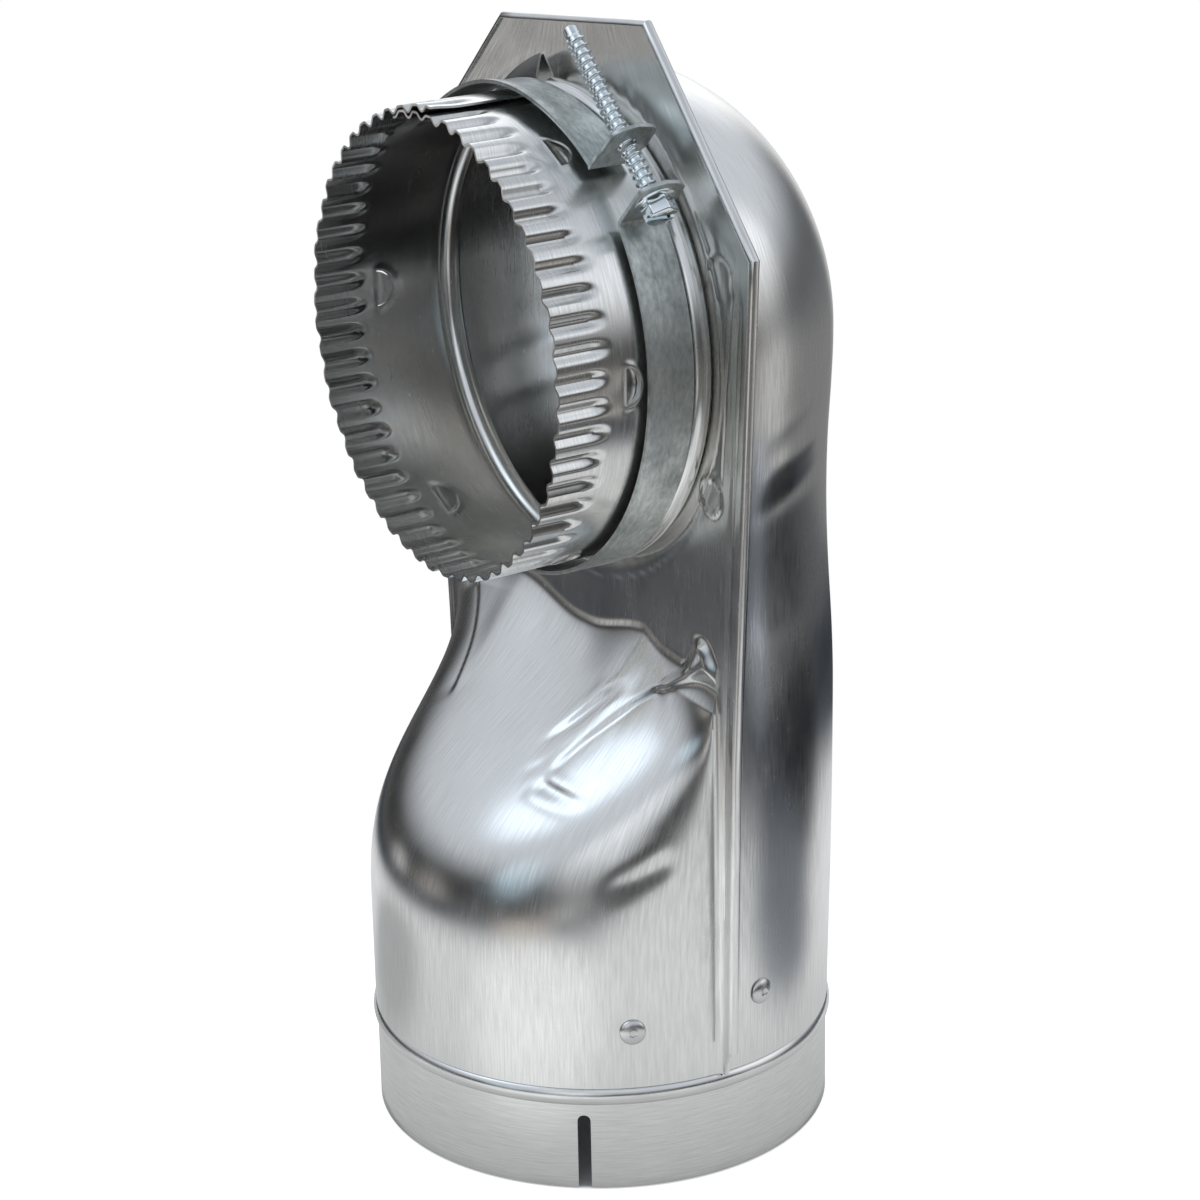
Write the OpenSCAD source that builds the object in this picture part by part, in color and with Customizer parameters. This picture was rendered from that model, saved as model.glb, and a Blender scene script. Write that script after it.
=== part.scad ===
// Dryer vent offset elbow: two stamped sheet-metal half shells, a slotted inlet collar below
// and a crimped outlet collar, with a strap clamp, that turns in the front plate.
// Millimetres, +Z up. The origin is the centre of the inlet's open end and the outlet faces -Y.

/* [Duct] */
// Outside radius of the inlet collar
inlet_r = 52; // [50:0.25:56]
// Outside radius of the plain part of the outlet collar
outlet_r = 50.8; // [49:0.1:52]
// Height of the outlet's axis above the open end of the inlet
outlet_z = 184.6; // [178:0.2:195]
// Sheet thickness of the shells and the collars
sheet = 0.5; // [0.4:0.05:0.6]
// Distance of the seam between the shells in front of the inlet's axis
seam_front = 2.1; // [1:0.1:4]

/* [Inlet collar] */
// Height of the plain part below the bead
inlet_plain = 20.4; // [18:0.2:24]
// Height of the rolled bead
inlet_bead_h = 4; // [3:0.25:5]
// How far the bead stands out
inlet_bead_out = 0.9; // [0.5:0.1:1.5]
// Length of the sleeve inside the shells, above the bead
sleeve_len = 22; // [20:0.5:28]
// Width of the slot in the plain part
slot_w = 2.9; // [2:0.1:4]
// Height of the slot
slot_h = 17.9; // [12:0.1:18]
// Direction of the slot, counted from +X
slot_angle = -37.5; // [-60:0.5:-20]

/* [Shells] */
// Radius of the bend between the walls and the seam flange
fillet_r = 1.6; // [1.2:0.1:2]
// How far the dome behind the outlet is wider on each side than the round channel
dome_out = 4.7; // [2.5:0.1:6]
// How far the dome stands out backwards beyond the round channel
dome_back_out = 0.3; // [-2:0.1:4]
// How far the rear channel stands out backwards at its fullest
belly_out = 3.3; // [1.8:0.1:6]
// How far the rear channel draws in at its waist
waist_in = 0.6; // [-2:0.1:2]
// Height where the shoulder of the front shell starts to fall
shoulder_z0 = 48; // [44:1:52]
// Height where the shoulder meets the flat plate
shoulder_z1 = 118.5; // [114:0.5:122]
// Depth over which the shoulder's upper end is rounded off into the plate
shoulder_round = 3; // [1:0.5:4]
// Depth of the drawn creases in the shoulder
crease_h = 1.1; // [0:0.1:1.6]
// Height of the pinched folds beside the shoulder
pinch_h = 1.9; // [0:0.1:2.4]

/* [Front plate] */
// Height of the middle of the plate's top edge above the dome
plate_top_rim = 8.4; // [6.4:0.2:16]
// How much higher the top edge stands at its right end than at its left
plate_top_lean = 5.8; // [0:0.2:8]
// Half length of the top edge
plate_top_half = 28; // [24:0.2:34]
// Height of the plate's widest point above the outlet's axis, where the sloping corners start
plate_wide_rise = 25.6; // [20:0.2:30]
// Width of the plate beside the dome at its widest point
plate_side_rim = 8.4; // [6:0.2:13]
// Width of the seam flange beside the walls at its lower end
plate_low_rim = 2.4; // [1.7:0.1:6]
// Height of the lower end of the seam flange
plate_low_z = 30.6; // [28:0.2:36]
// Width of the hem folded round behind the rear flange
hem_w = 4; // [2:0.5:6]

/* [Outlet collar] */
// Length of the collar in front of the plate
outlet_len = 37.1; // [34:0.1:42]
// Length of the crimped end
crimp_len = 11; // [8:0.5:13]
// Depth of the crimps
crimp_depth = 1.4; // [1:0.1:2]
// Number of crimps
crimps = 54; // [48:1:60]
// Length of the bead against the plate
neck_bead_len = 5.2; // [4:0.1:6]
// How far the bead stands out
neck_bead_out = 2.1; // [1.5:0.1:2.6]
// Play between the collar and the plate
swivel_gap = 0.3; // [0.2:0.05:0.5]
// Angle of the edge of the lap seam
lap_angle = 86; // [80:1:100]
// Angle covered by the lap
lap_span = 18; // [12:1:24]
// Distance of the pipe stops from the plate, at their bend lines
stop_s = 21.3; // [20:0.1:24]
// Radius of the half-moon stops
stop_r = 4.1; // [3:0.1:4.5]
// Number of stops
stops = 6; // [4:1:8]
// Angle by which the stops are pushed in
stop_tilt = 22; // [10:1:35]

/* [Clamp] */
// Direction of the clamp's gap, counted from +X round the outlet
clamp_angle = 45; // [0:1:90]
// Distance of the strap from the plate
clamp_s = 6; // [5.9:0.1:8]
// Width of the strap
clamp_w = 10.9; // [9:0.1:11]
// Thickness of the strap
strap = 0.8; // [0.6:0.05:1]
// Play between the strap and the collar, for a duct's end
clamp_gap = 0.8; // [0.4:0.05:1]
// Distance of the lower ear from the gap's centre
ear_low_t = 6.5; // [5:0.1:9]
// Distance of the upper ear from the gap's centre
ear_high_t = 5; // [4:0.1:8]
// Length of the ears beyond the strap
ear_len = 13.6; // [11.6:0.2:17]
// Distance of the screw beyond the strap
screw_out = 7.2; // [6.6:0.1:9]

/* [Fasteners] */
// Length of the screw under its head
screw_len = 43; // [38:0.5:48]
// Radius over the screw's thread
thread_r = 2.1; // [1.8:0.05:2.4]
// Radius of the screw's core
core_r = 1.5; // [1.3:0.05:1.7]
// Pitch of the screw's thread
pitch = 1.8; // [1.4:0.05:2]
// Width of the hexagon head across its flats
hex_af = 6.35; // [5.5:0.05:7]
// Height of the hexagon head
hex_h = 3.4; // [2.5:0.1:4]
// Radius of the washer under the hexagon
washer_r = 4.7; // [4.2:0.1:5.2]
// Radius of the rivets' shanks
rivet_r = 1.6; // [1.4:0.05:1.8]
// Radius of the rivets' domed heads
rivet_head_r = 2.95; // [2.6:0.05:3.2]
// Height of the rivets' heads
rivet_head_h = 1.2; // [0.9:0.1:1.5]
// Distance of the front rivets from the seam, round the collar
front_rivet_angle = 25.4; // [15:0.2:45]
// Distance of the rear rivets from the seam, round the collar
rear_rivet_angle = 9.6; // [8:0.2:45]
// Height of the front rivets
front_rivet_z = 38; // [34:0.2:42]
// Height of the rear rivets
rear_rivet_z = 41; // [34:0.2:42]

/* [Hidden] */
$fn = 96;
eps = 0.01;
seat = 0.05;
// how far a piece joined into a wall stays below its outer face
under_skin = 0.04;
// how far a stop's tab runs on beyond its bend line
fold_over = 0.3;
// planes of the seam: plate front, plate back and rear flange front, rear flange back, hem back
y_plate = -seam_front - sheet;
y_seam = -seam_front;
y_flange = -seam_front + sheet;
y_hem = -seam_front + 2 * sheet;
shell_clear = 0.3;
shell_r = inlet_r + shell_clear;
shell_low = inlet_plain + inlet_bead_h + 0.1;
// the rim of a drawn sheet is let into its flange by this much
tuck = 0.4;
tuck_side = 0.1;
sleeve_r = shell_r - sheet - 0.15;
dome_r = shell_r + dome_out;
dome_depth = shell_r + dome_back_out;
belly_depth = shell_r + belly_out;
waist_depth = shell_r - waist_in;
window_half = shell_r + fillet_r;
window_top = shoulder_z1 + 7;
plate_low_half = window_half + plate_low_rim;
plate_top = outlet_z + dome_r + plate_top_rim;
plate_wide_z = outlet_z + plate_wide_rise;
plate_wide_half = dome_r + plate_side_rim;
front_wall_y = y_plate - fillet_r;
front_depth = shell_r + y_plate;
side_drop = 4;
hole_r = outlet_r + swivel_gap;
// distances of the waist, the belly and the ends of the widening part below the outlet's axis
waist_drop = 25;
belly_drop = 85;
widen_start = 62;
widen_end = 2;
// grid sizes of the two drawn shells
front_rows = 34;
front_cols = 36;
rear_rows = 17;
dome_rows = 12;
rear_cols = 30;
fillet_cols = 3;
bead_steps = 8;

function clamp01(t) = min(1, max(0, t));
function ease(t) = let (u = clamp01(t)) u * u * (3 - 2 * u);
function between(z, z0, z1, v0, v1) = v0 + (v1 - v0) * ease((z - z0) / (z1 - z0));
function bell(d, w) = exp(-(d / w) * (d / w));
function unit(v) = v / norm(v);

// distance from p to the line a-b, counted to the left of it, and the place along it
function side_of(p, a, b) = let (d = unit(b - a), q = p - a) d[0] * q[1] - d[1] * q[0];
function along(p, a, b) = let (d = unit(b - a)) (p - a) * d / norm(b - a);

// outline of the front plate, drawn in X and Z, from the lower right round to the lower left
mid_z = (plate_low_z + plate_wide_z) / 2;
mid_half = plate_low_half + 0.37 * (plate_wide_half - plate_low_half);
quarter_z = plate_low_z + 0.39 * (plate_wide_z - plate_low_z);
quarter_half = plate_low_half + 0.25 * (plate_wide_half - plate_low_half);
half_outline = [
    [plate_low_half - 2.3, plate_low_z - 2.6],
    [plate_low_half, plate_low_z],
    [quarter_half, quarter_z],
    [mid_half, mid_z],
    [plate_wide_half, plate_wide_z]
];
top_edge = [
    [plate_top_half, plate_top + plate_top_lean / 2],
    [-plate_top_half, plate_top - plate_top_lean / 2]
];
function other_side(points) = [for (i = [len(points) - 1:-1:0]) [-points[i][0], points[i][1]]];
plate_outline = concat(half_outline, top_edge, other_side(half_outline));

// moves every edge of a convex outline inwards
function inset(points, d) = let (n = len(points)) [
    for (i = [0:n - 1])
        let (
            a = points[(i + n - 1) % n], b = points[i], c = points[(i + 1) % n],
            u = unit(b - a), v = unit(c - b),
            nu = [-u[1], u[0]], nv = [-v[1], v[0]],
            k = d / (1 + nu * nv)
        )
        b + k * (nu + nv)
];

// depth of the front shell in front of the plate, which falls in an S from the cylinder to the plate
function s_fall(t) = let (u = clamp01(t), p = pow(u, 2.8), q = pow(1 - u, 1.1)) p / (p + q) + 0.75 * max(0, t - 1);
// runs out level where the depth d goes below zero
function run_out(d, w) = d > w ? d : d < -w ? 0 : (d + w) * (d + w) / (4 * w);
function front_fall(x, z) =
    let (
        z1 = z + side_drop * pow(abs(x) / shell_r, 3),
        d = front_depth * (1 - s_fall((z1 - shoulder_z0) / (shoulder_z1 - shoulder_z0)))
    )
    run_out(d, shoulder_round);

// creases that the draw leaves where the shoulder meets the plate, the same on both sides
crease_a = [0.9 * shell_r, shoulder_z1 - 1];
crease_b = [0.65 * shell_r, shoulder_z1 - 8.5];
crease_c = [0.46 * shell_r, shoulder_z1 - 21.5];
crease_d = [0.46 * shell_r, shoulder_z1 - 31];
function crease_leg(p, a, b) =
    let (s = side_of(p, a, b), t = along(p, a, b), m = clamp01(t), d = norm(p - a - m * (b - a)))
    [d, s];
function crease(x, z) =
    let (
        p = [abs(x), z],
        l1 = crease_leg(p, crease_a, crease_b),
        l2 = crease_leg(p, crease_b, crease_c),
        l3 = crease_leg(p, crease_c, crease_d),
        best = l1[0] < l2[0] ? l1 : (l2[0] < l3[0] ? l2 : l3),
        d = (best[1] > 0 ? -1 : 1) * best[0]
    )
    crease_h * (bell(d - 3.4, 2.2) - 0.8 * bell(d, 1.6)) * ease((z - crease_d[1] + 6) / 8);
pinch_a = [0.72 * shell_r, shoulder_z1 - 6];
pinch_b = [0.9 * shell_r, shoulder_z1 + 0.5];
function pinch(x, z) =
    let (
        p = [abs(x), z], t = along(p, pinch_a, pinch_b), m = clamp01(t),
        d = norm(p - pinch_a - m * (pinch_b - pinch_a))
    )
    pinch_h * (0.35 + 0.65 * m) * bell(d, 1.6 + 1.4 * m) * ease((window_half - abs(x)) / 1.2) * ease((window_top - z) / 2);

// one row of the front shell's front face: flange bend, wall, flange bend
front_start = asin(-front_wall_y / shell_r);
function front_wall(z, k) =
    let (
        a = front_start + (180 - 2 * front_start) * k / front_cols,
        x = -shell_r * cos(a),
        c = (shell_r * sin(a) + front_wall_y) / (shell_r + front_wall_y),
        d = front_fall(x, z),
        r = min(fillet_r, d / 2),
        flat = clamp01(d / 6)
    )
    [x, y_plate - r - (d - r) * c - crease(x, z) * flat * ease(c * 4) - pinch(x, z), z];
function front_bend(z, k, side) =
    let (
        w = shell_r * cos(front_start), d = front_fall(w, z), r = min(fillet_r, d / 2),
        a = 90 * k / fillet_cols, h = window_half - w
    )
    [side * (window_half - h * sin(a)), y_plate - r * (1 - cos(a)), z];
function front_row(z) = concat(
    [[-window_half - tuck, y_plate + tuck_side, z]],
    [for (k = [0:fillet_cols - 1]) front_bend(z, k, -1)],
    [for (k = [0:front_cols]) front_wall(z, k)],
    [for (k = [fillet_cols - 1:-1:0]) front_bend(z, k, 1)],
    [[window_half + tuck, y_plate + tuck_side, z]]
);
front_levels = [
    for (i = [0:front_rows])
        i < 5 ? shell_low + (shoulder_z0 - shell_low) * i / 5
              : shoulder_z0 + (window_top - shoulder_z0) * (i - 5) / (front_rows - 5)
];
front_grid = concat(
    [for (z = front_levels) front_row(z)],
    [[for (p = front_row(window_top)) [p[0], y_plate + tuck_side, window_top + tuck]]]
);

// one row of the rear shell's back face; above the outlet's axis the rows close in a dome
waist_z = outlet_z - waist_drop;
belly_z = outlet_z - belly_drop;
function rear_half(z) = between(z, outlet_z - widen_start, outlet_z - widen_end, shell_r, dome_r);
function rear_depth(z) =
    z < belly_z ? shell_r + fillet_r + (belly_depth - shell_r - fillet_r) * sin(90 * (z - shell_low) / (belly_z - shell_low))
    : z < waist_z ? between(z, belly_z, waist_z, belly_depth, waist_depth)
    : between(z, waist_z, outlet_z, waist_depth, dome_depth);
function rear_row(half, depth, z, lift, nx, nz) = concat(
    [[-half - nx * (fillet_r + tuck), y_flange - tuck_side, z + nz * (fillet_r + tuck)]],
    [for (k = [0:fillet_cols - 1]) let (a = 90 * k / fillet_cols, e = fillet_r * (1 - sin(a)))
        [-half - nx * e, y_flange + fillet_r * (1 - cos(a)), z + nz * e]],
    [for (k = [0:rear_cols]) let (a = 180 * k / rear_cols)
        [-half * cos(a), y_flange + fillet_r + lift * (depth - fillet_r) * sin(a), z]],
    [for (k = [fillet_cols - 1:-1:0]) let (a = 90 * k / fillet_cols, e = fillet_r * (1 - sin(a)))
        [half + nx * e, y_flange + fillet_r * (1 - cos(a)), z + nz * e]],
    [[half + nx * (fillet_r + tuck), y_flange - tuck_side, z + nz * (fillet_r + tuck)]]
);
last_turn = 89.4;
rear_grid = concat(
    [for (i = [0:rear_rows]) let (z = shell_low + (outlet_z - shell_low) * i / rear_rows)
        rear_row(rear_half(z), rear_depth(z), z, 1, 1, 0)],
    [for (i = [1:dome_rows]) let (t = last_turn * i / dome_rows)
        rear_row(dome_r * cos(t), dome_depth, outlet_z + dome_r * sin(t), cos(t), cos(t), sin(t))]
);
rear_rim = [
    for (row = rear_grid)
        let (a = row[len(row) - 2], b = row[len(row) - 1], d = (b - a) / norm(b - a))
        [a[0], a[2], d[0], d[2]]
];
// the opening in the seam flange, wider than the drawn shell by the given distance
function rear_window(wider) =
    let (half = [for (r = rear_rim) [r[0] + wider * r[2], r[1] + wider * r[3]]])
    concat(half, other_side(half));

// direction out of the sheet at one grid point; the rims stay square to the flange
function sheet_normal(g, i, j, out, rim_top) =
    let (
        n = len(g) - 1, m = len(g[0]) - 1,
        du = g[min(n, i + 1)][j] - g[max(0, i - 1)][j],
        dv = g[i][min(m, j + 1)] - g[i][max(0, j - 1)],
        c = cross(du, dv),
        f = i == 0 ? [c[0], c[1], 0] : c
    )
    (j == 0 || j == m || (rim_top && i == n)) ? [0, out * (1 - 2 * tuck_side / sheet), 0] : unit(f) * (f * [0, out, 0] + 0.2 * c[1] * out >= 0 ? 1 : -1);

// a grid of points made into a sheet of even thickness, with its last row closed if it is a pole
module drawn_sheet(g, out, t, pole) {
    n = len(g) - 1;
    m = len(g[0]) - 1;
    w = m + 1;
    inner = [for (i = [0:n]) [for (j = [0:m]) g[i][j] - t * sheet_normal(g, i, j, out, !pole)]];
    points = concat([for (i = [0:n]) for (j = [0:m]) g[i][j]], [for (i = [0:n]) for (j = [0:m]) inner[i][j]]);
    half = (n + 1) * w;
    front = [for (i = [0:n - 1]) for (j = [0:m - 1]) each
        [[i * w + j, i * w + j + 1, i * w + w + j + 1], [i * w + j, i * w + w + j + 1, i * w + w + j]]];
    back = [for (f = front) [f[2] + half, f[1] + half, f[0] + half]];
    low = [for (j = [0:m - 1]) each [[j + 1, j, j + half], [j + 1, j + half, j + 1 + half]]];
    top_row = n * w;
    high = pole ? [] : [for (j = [0:m - 1]) each
        [[top_row + j, top_row + j + 1, top_row + j + 1 + half], [top_row + j, top_row + j + 1 + half, top_row + j + half]]];
    left = [for (i = [0:n - 1]) each
        [[i * w, i * w + w, i * w + w + half], [i * w, i * w + w + half, i * w + half]]];
    right = [for (i = [0:n - 1]) each
        [[i * w + w + m, i * w + m, i * w + m + half], [i * w + w + m, i * w + m + half, i * w + w + m + half]]];
    mid = top_row + m / 2;
    cap_front = pole ? concat([[mid - 1, mid, mid + 1]], [for (j = [0:m / 2 - 2]) each
        [[top_row + j, top_row + j + 1, top_row + m - j - 1], [top_row + j, top_row + m - j - 1, top_row + m - j]]]) : [];
    cap_back = [for (f = cap_front) [f[2] + half, f[1] + half, f[0] + half]];
    cap_rim = pole ? [[top_row, top_row + m, top_row + m + half], [top_row, top_row + m + half, top_row + half]] : [];
    faces = concat(front, back, low, high, left, right, cap_front, cap_back, cap_rim);
    polyhedron(points, out > 0 ? faces : [for (f = faces) [f[2], f[1], f[0]]]);
}

// a flat sheet drawn in X and Z, from y to y + t
module flat_sheet(y, t) {
    translate([0, y + t, 0])
        rotate([90, 0, 0])
            linear_extrude(t)
                children();
}

// the outlet's own frame: X, Z and the distance in front of the plate
module on_outlet() {
    translate([0, y_plate, outlet_z])
        rotate([90, 0, 0])
            children();
}

// points of an arc round c
function arc(c, r, a0, a1, n) = [for (i = [0:n]) let (a = a0 + (a1 - a0) * i / n) c + r * [cos(a), sin(a)]];

// section of a rolled bead of height h that stands out of a tube of radius r; its outer and inner faces
function bead_r(h, stand) = (stand * stand + h * h / 4) / (2 * stand);
function bead_outer(r, z, h, stand) =
    let (br = bead_r(h, stand), turn = asin(h / 2 / br))
    arc([r + stand - br, z + h / 2], br, -turn, turn, bead_steps);
function bead_inner(r, z, h, stand) =
    let (br = bead_r(h, stand), turn = acos((br - stand - sheet) / (br - sheet)))
    arc([r + stand - br, z + h / 2], br - sheet, turn, -turn, bead_steps);

// a shank-sized hole through the shells and the sleeve
module rivet_places() {
    for (p = [
        [-front_rivet_angle, front_rivet_z], [180 + front_rivet_angle, front_rivet_z],
        [rear_rivet_angle, rear_rivet_z], [180 - rear_rivet_angle, rear_rivet_z]
    ])
        rotate([0, 0, p[0]])
            translate([0, 0, p[1]])
                rotate([0, 90, 0])
                    children();
}

module rivet_holes() {
    rivet_places()
        translate([0, 0, sleeve_r - 3])
            cylinder(h = 8, r = rivet_r + seat);
}

module rear_shell() {
    color("Gainsboro") {
        difference() {
            drawn_sheet(rear_grid, 1, sheet, true);
            rivet_holes();
        }
        flat_sheet(y_seam, sheet)
            difference() {
                polygon(inset(plate_outline, sheet + seat));
                polygon(rear_window(tuck / 2));
            }
    }
}

// the plate, its hem folded round the rear flange, and the openings through it
module front_plate() {
    difference() {
        flat_sheet(y_plate, 3 * sheet)
            polygon(plate_outline);
        flat_sheet(y_seam, sheet)
            polygon(inset(plate_outline, sheet));
        flat_sheet(y_flange, 2 * sheet) {
            polygon(inset(plate_outline, hem_w));
            polygon(rear_window(tuck));
        }
        flat_sheet(y_seam, 3 * sheet)
            translate([-plate_wide_half, 0])
                square([2 * plate_wide_half, plate_low_z]);
        flat_sheet(y_plate - 1, 2)
            translate([-window_half - tuck / 2, 0])
                square([2 * window_half + tuck, window_top + tuck / 2]);
        flat_sheet(y_plate - 1, 2)
            translate([0, outlet_z])
                circle(hole_r);
    }
}

module front_shell() {
    color("Silver") {
        difference() {
            drawn_sheet(front_grid, -1, sheet, false);
            rivet_holes();
        }
        front_plate();
    }
}

module base_collar() {
    bead_top = inlet_plain + inlet_bead_h;
    inner_bead = bead_inner(inlet_r, inlet_plain, inlet_bead_h, inlet_bead_out);
    color("LightGray")
        difference() {
            rotate_extrude()
                polygon(concat(
                    [[inlet_r - sheet, 0], [inlet_r, 0]],
                    bead_outer(inlet_r, inlet_plain, inlet_bead_h, inlet_bead_out),
                    [[sleeve_r, bead_top], [sleeve_r, bead_top + sleeve_len], [sleeve_r - sheet, bead_top + sleeve_len]],
                    [[sleeve_r - sheet, inner_bead[0][1]]],
                    inner_bead
                ));
            rotate([0, 0, slot_angle]) {
                translate([inlet_r - 3, -slot_w / 2, -1])
                    cube([6, slot_w, slot_h - slot_w / 2 + 1]);
                translate([inlet_r - 3, 0, slot_h - slot_w / 2])
                    rotate([0, 90, 0])
                        cylinder(h = 6, d = slot_w);
            }
            rivet_holes();
        }
}

// the crimped end as a folded ring; its inner end is let into the plain tube
crimp_s = outlet_len - crimp_len;
function crimp_point(j, depth, r, s) =
    let (n = 4 * crimps, a = 360 * j / n, q = j % 4, low = (q == 1 || q == 2) ? depth : 0)
    [(r - low) * cos(a), (r - low) * sin(a), s];
module crimped_end() {
    n = 4 * crimps;
    skin = 0.04;
    rows = [
        [crimp_s - 1, 0, skin], [crimp_s, 0, skin], [crimp_s + 2.2, crimp_depth, 0], [outlet_len, crimp_depth, 0]
    ];
    outer = [for (r = rows) for (j = [0:n - 1]) crimp_point(j, r[1], outlet_r - r[2], r[0])];
    inner = [for (r = rows) for (j = [0:n - 1]) crimp_point(j, r[1], outlet_r - sheet + r[2], r[0])];
    h = len(outer);
    last = len(rows) - 1;
    out_faces = [for (i = [0:last - 1]) for (j = [0:n - 1]) let (k = (j + 1) % n) each
        [[i * n + j, i * n + n + j, i * n + n + k], [i * n + j, i * n + n + k, i * n + k]]];
    in_faces = [for (f = out_faces) [f[2] + h, f[1] + h, f[0] + h]];
    low_rim = [for (j = [0:n - 1]) let (k = (j + 1) % n) each [[j, k, k + h], [j, k + h, j + h]]];
    high_rim = [for (j = [0:n - 1]) let (k = (j + 1) % n, b = last * n) each
        [[b + k, b + j, b + j + h], [b + k, b + j + h, b + k + h]]];
    polyhedron(concat(outer, inner), concat(out_faces, in_faces, low_rim, high_rim));
}

// a half-moon cut through the wall on the clamp's side of its bend line
module stop_cut() {
    translate([outlet_r - 3, 0, stop_s])
        rotate([0, 90, 0])
            difference() {
                cylinder(h = 5, r = stop_r);
                translate([-2 * stop_r, -stop_r, -1])
                    cube([2 * stop_r, 2 * stop_r, 7]);
            }
}

module stop_tab() {
    // the flat tab lies inside the wall's arch, so that a duct slides over it
    arch = stop_r * stop_r / (2 * outlet_r) + under_skin;
    translate([outlet_r - sheet - arch - fold_over * sin(stop_tilt), 0, stop_s])
        rotate([0, stop_tilt, 0])
            rotate([0, 90, 0])
                difference() {
                    cylinder(h = sheet, r = stop_r - 0.15);
                    translate([-2 * stop_r - fold_over, -stop_r, -1])
                        cube([2 * stop_r, 2 * stop_r, 3]);
                }
}

module at_stops() {
    for (i = [0:stops - 1])
        rotate([0, 0, 360 * i / stops])
            children();
}

module outlet_collar() {
    flare_r = outlet_r + neck_bead_out + 0.3;
    back_s = -2 * sheet - swivel_gap;
    color("WhiteSmoke")
        on_outlet() {
            difference() {
                union() {
                    // the end turned out behind the plate, the wall through it, the bead and the plain zone
                    rotate_extrude()
                        polygon(concat(
                            [[outlet_r - sheet, back_s], [flare_r, back_s], [flare_r, back_s + sheet]],
                            [[outlet_r, back_s + sheet]],
                            bead_outer(outlet_r, swivel_gap, neck_bead_len, neck_bead_out),
                            [[outlet_r, crimp_s], [outlet_r - sheet, crimp_s]],
                            bead_inner(outlet_r, swivel_gap, neck_bead_len, neck_bead_out)
                        ));
                    crimped_end();
                    // the under layer of the lap seam
                    rotate([0, 0, lap_angle])
                        rotate_extrude(angle = lap_span)
                            translate([outlet_r - 2 * sheet, clamp_s])
                                square([sheet + eps, crimp_s - clamp_s]);
                }
                at_stops()
                    stop_cut();
                // the gap between the ends of the bead, at the seam
                rotate([0, 0, lap_angle])
                    translate([outlet_r, -0.6, swivel_gap / 2])
                        cube([neck_bead_out + 1, 1.2, clamp_s - swivel_gap]);
            }
            at_stops()
                stop_tab();
        }
}

strap_in = outlet_r + clamp_gap;
strap_out = strap_in + strap;
ear_end = strap_out + ear_len;
screw_rad = strap_out + screw_out;
screw_s = clamp_s + clamp_w / 2;

// outline of one end of the strap, seen along the outlet, with the gap on its -Y side
function end_turn(face_t, bend_r) = asin((face_t + strap + bend_r) / (strap_out + bend_r));
module end_outline(face_t, bend_r) {
    turn = end_turn(face_t, bend_r);
    skin = 0.03;
    c = (strap_out + bend_r) * [cos(turn), sin(turn)];
    polygon(concat(
        arc([0, 0], strap_in + skin, turn + 4, turn, 2),
        arc(c, bend_r + strap - skin, 180 + turn, 270, 6),
        [[ear_end, face_t + skin], [ear_end, face_t + strap - skin]],
        arc(c, bend_r + skin, 270, 180 + turn, 6),
        arc([0, 0], strap_out - skin, turn, turn + 4, 2)
    ));
}

// one end of the strap: a bend outwards and an ear with a rounded end and a hole for the screw
module strap_end(face_t, bend_r, hole) {
    round_r = 8;
    difference() {
        translate([0, 0, clamp_s + eps])
            linear_extrude(clamp_w - 2 * eps)
                end_outline(face_t, bend_r);
        translate([screw_rad, face_t - 1, screw_s])
            rotate([-90, 0, 0])
                cylinder(h = strap + 2, r = hole);
        translate([ear_end - round_r, face_t - 1, screw_s])
            rotate([-90, 0, 0])
                difference() {
                    translate([0, -clamp_w, 0])
                        cube([2 * round_r, 2 * clamp_w, strap + 2]);
                    translate([0, 0, -1])
                        cylinder(h = strap + 4, r = round_r);
                }
    }
}

module clamp_strap() {
    low_bend = 2;
    high_bend = 0.6;
    low_turn = end_turn(ear_low_t, low_bend);
    high_turn = end_turn(ear_high_t, high_bend);
    color("DarkGray")
        on_outlet()
            rotate([0, 0, clamp_angle]) {
                rotate([0, 0, high_turn])
                    rotate_extrude(angle = 360 - high_turn - low_turn)
                        translate([strap_in, clamp_s])
                            square([strap, clamp_w]);
                strap_end(ear_high_t, high_bend, thread_r + seat);
                mirror([0, 1, 0])
                    strap_end(ear_low_t, low_bend, thread_r + 0.5);
            }
}

// the screw stands on the underside of its head and points up
module screw_body() {
    washer_h = 1;
    dog = 2.2;
    turns = floor((screw_len - dog - 1.2) / pitch);
    thread_top = screw_len - dog;
    thread_low = thread_top - turns * pitch;
    profile = concat(
        [[0, -washer_h - 0.6], [washer_r - 1.1, -washer_h], [washer_r, -washer_h + 0.35], [washer_r, 0], [core_r, 0]],
        [for (i = [0:turns - 1]) each [
            [core_r, thread_low + i * pitch + 0.12 * pitch],
            [thread_r, thread_low + (i + 0.46) * pitch],
            [thread_r, thread_low + (i + 0.54) * pitch],
            [core_r, thread_low + (i + 0.88) * pitch]
        ]],
        [[core_r, thread_top], [core_r - 0.1, screw_len - 0.5], [core_r - 0.6, screw_len], [0, screw_len]]
    );
    rotate_extrude()
        polygon(profile);
    translate([0, 0, -washer_h - hex_h])
        difference() {
            intersection() {
                linear_extrude(hex_h + 0.2)
                    polygon([for (i = [0:5]) hex_af / 2 / cos(30) * [cos(60 * i), sin(60 * i)]]);
                rotate_extrude()
                    polygon([
                        [0, 0], [hex_af / 2 - 0.5, 0], [hex_af / 2 + 0.1, 0.5],
                        [hex_af / 2 / cos(30) + 0.1, 1], [hex_af / 2 / cos(30) + 0.1, hex_h + 0.2], [0, hex_h + 0.2]
                    ]);
            }
            translate([-hex_af, -0.55, -1])
                cube([2 * hex_af, 1.1, 2.2]);
        }
}

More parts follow.
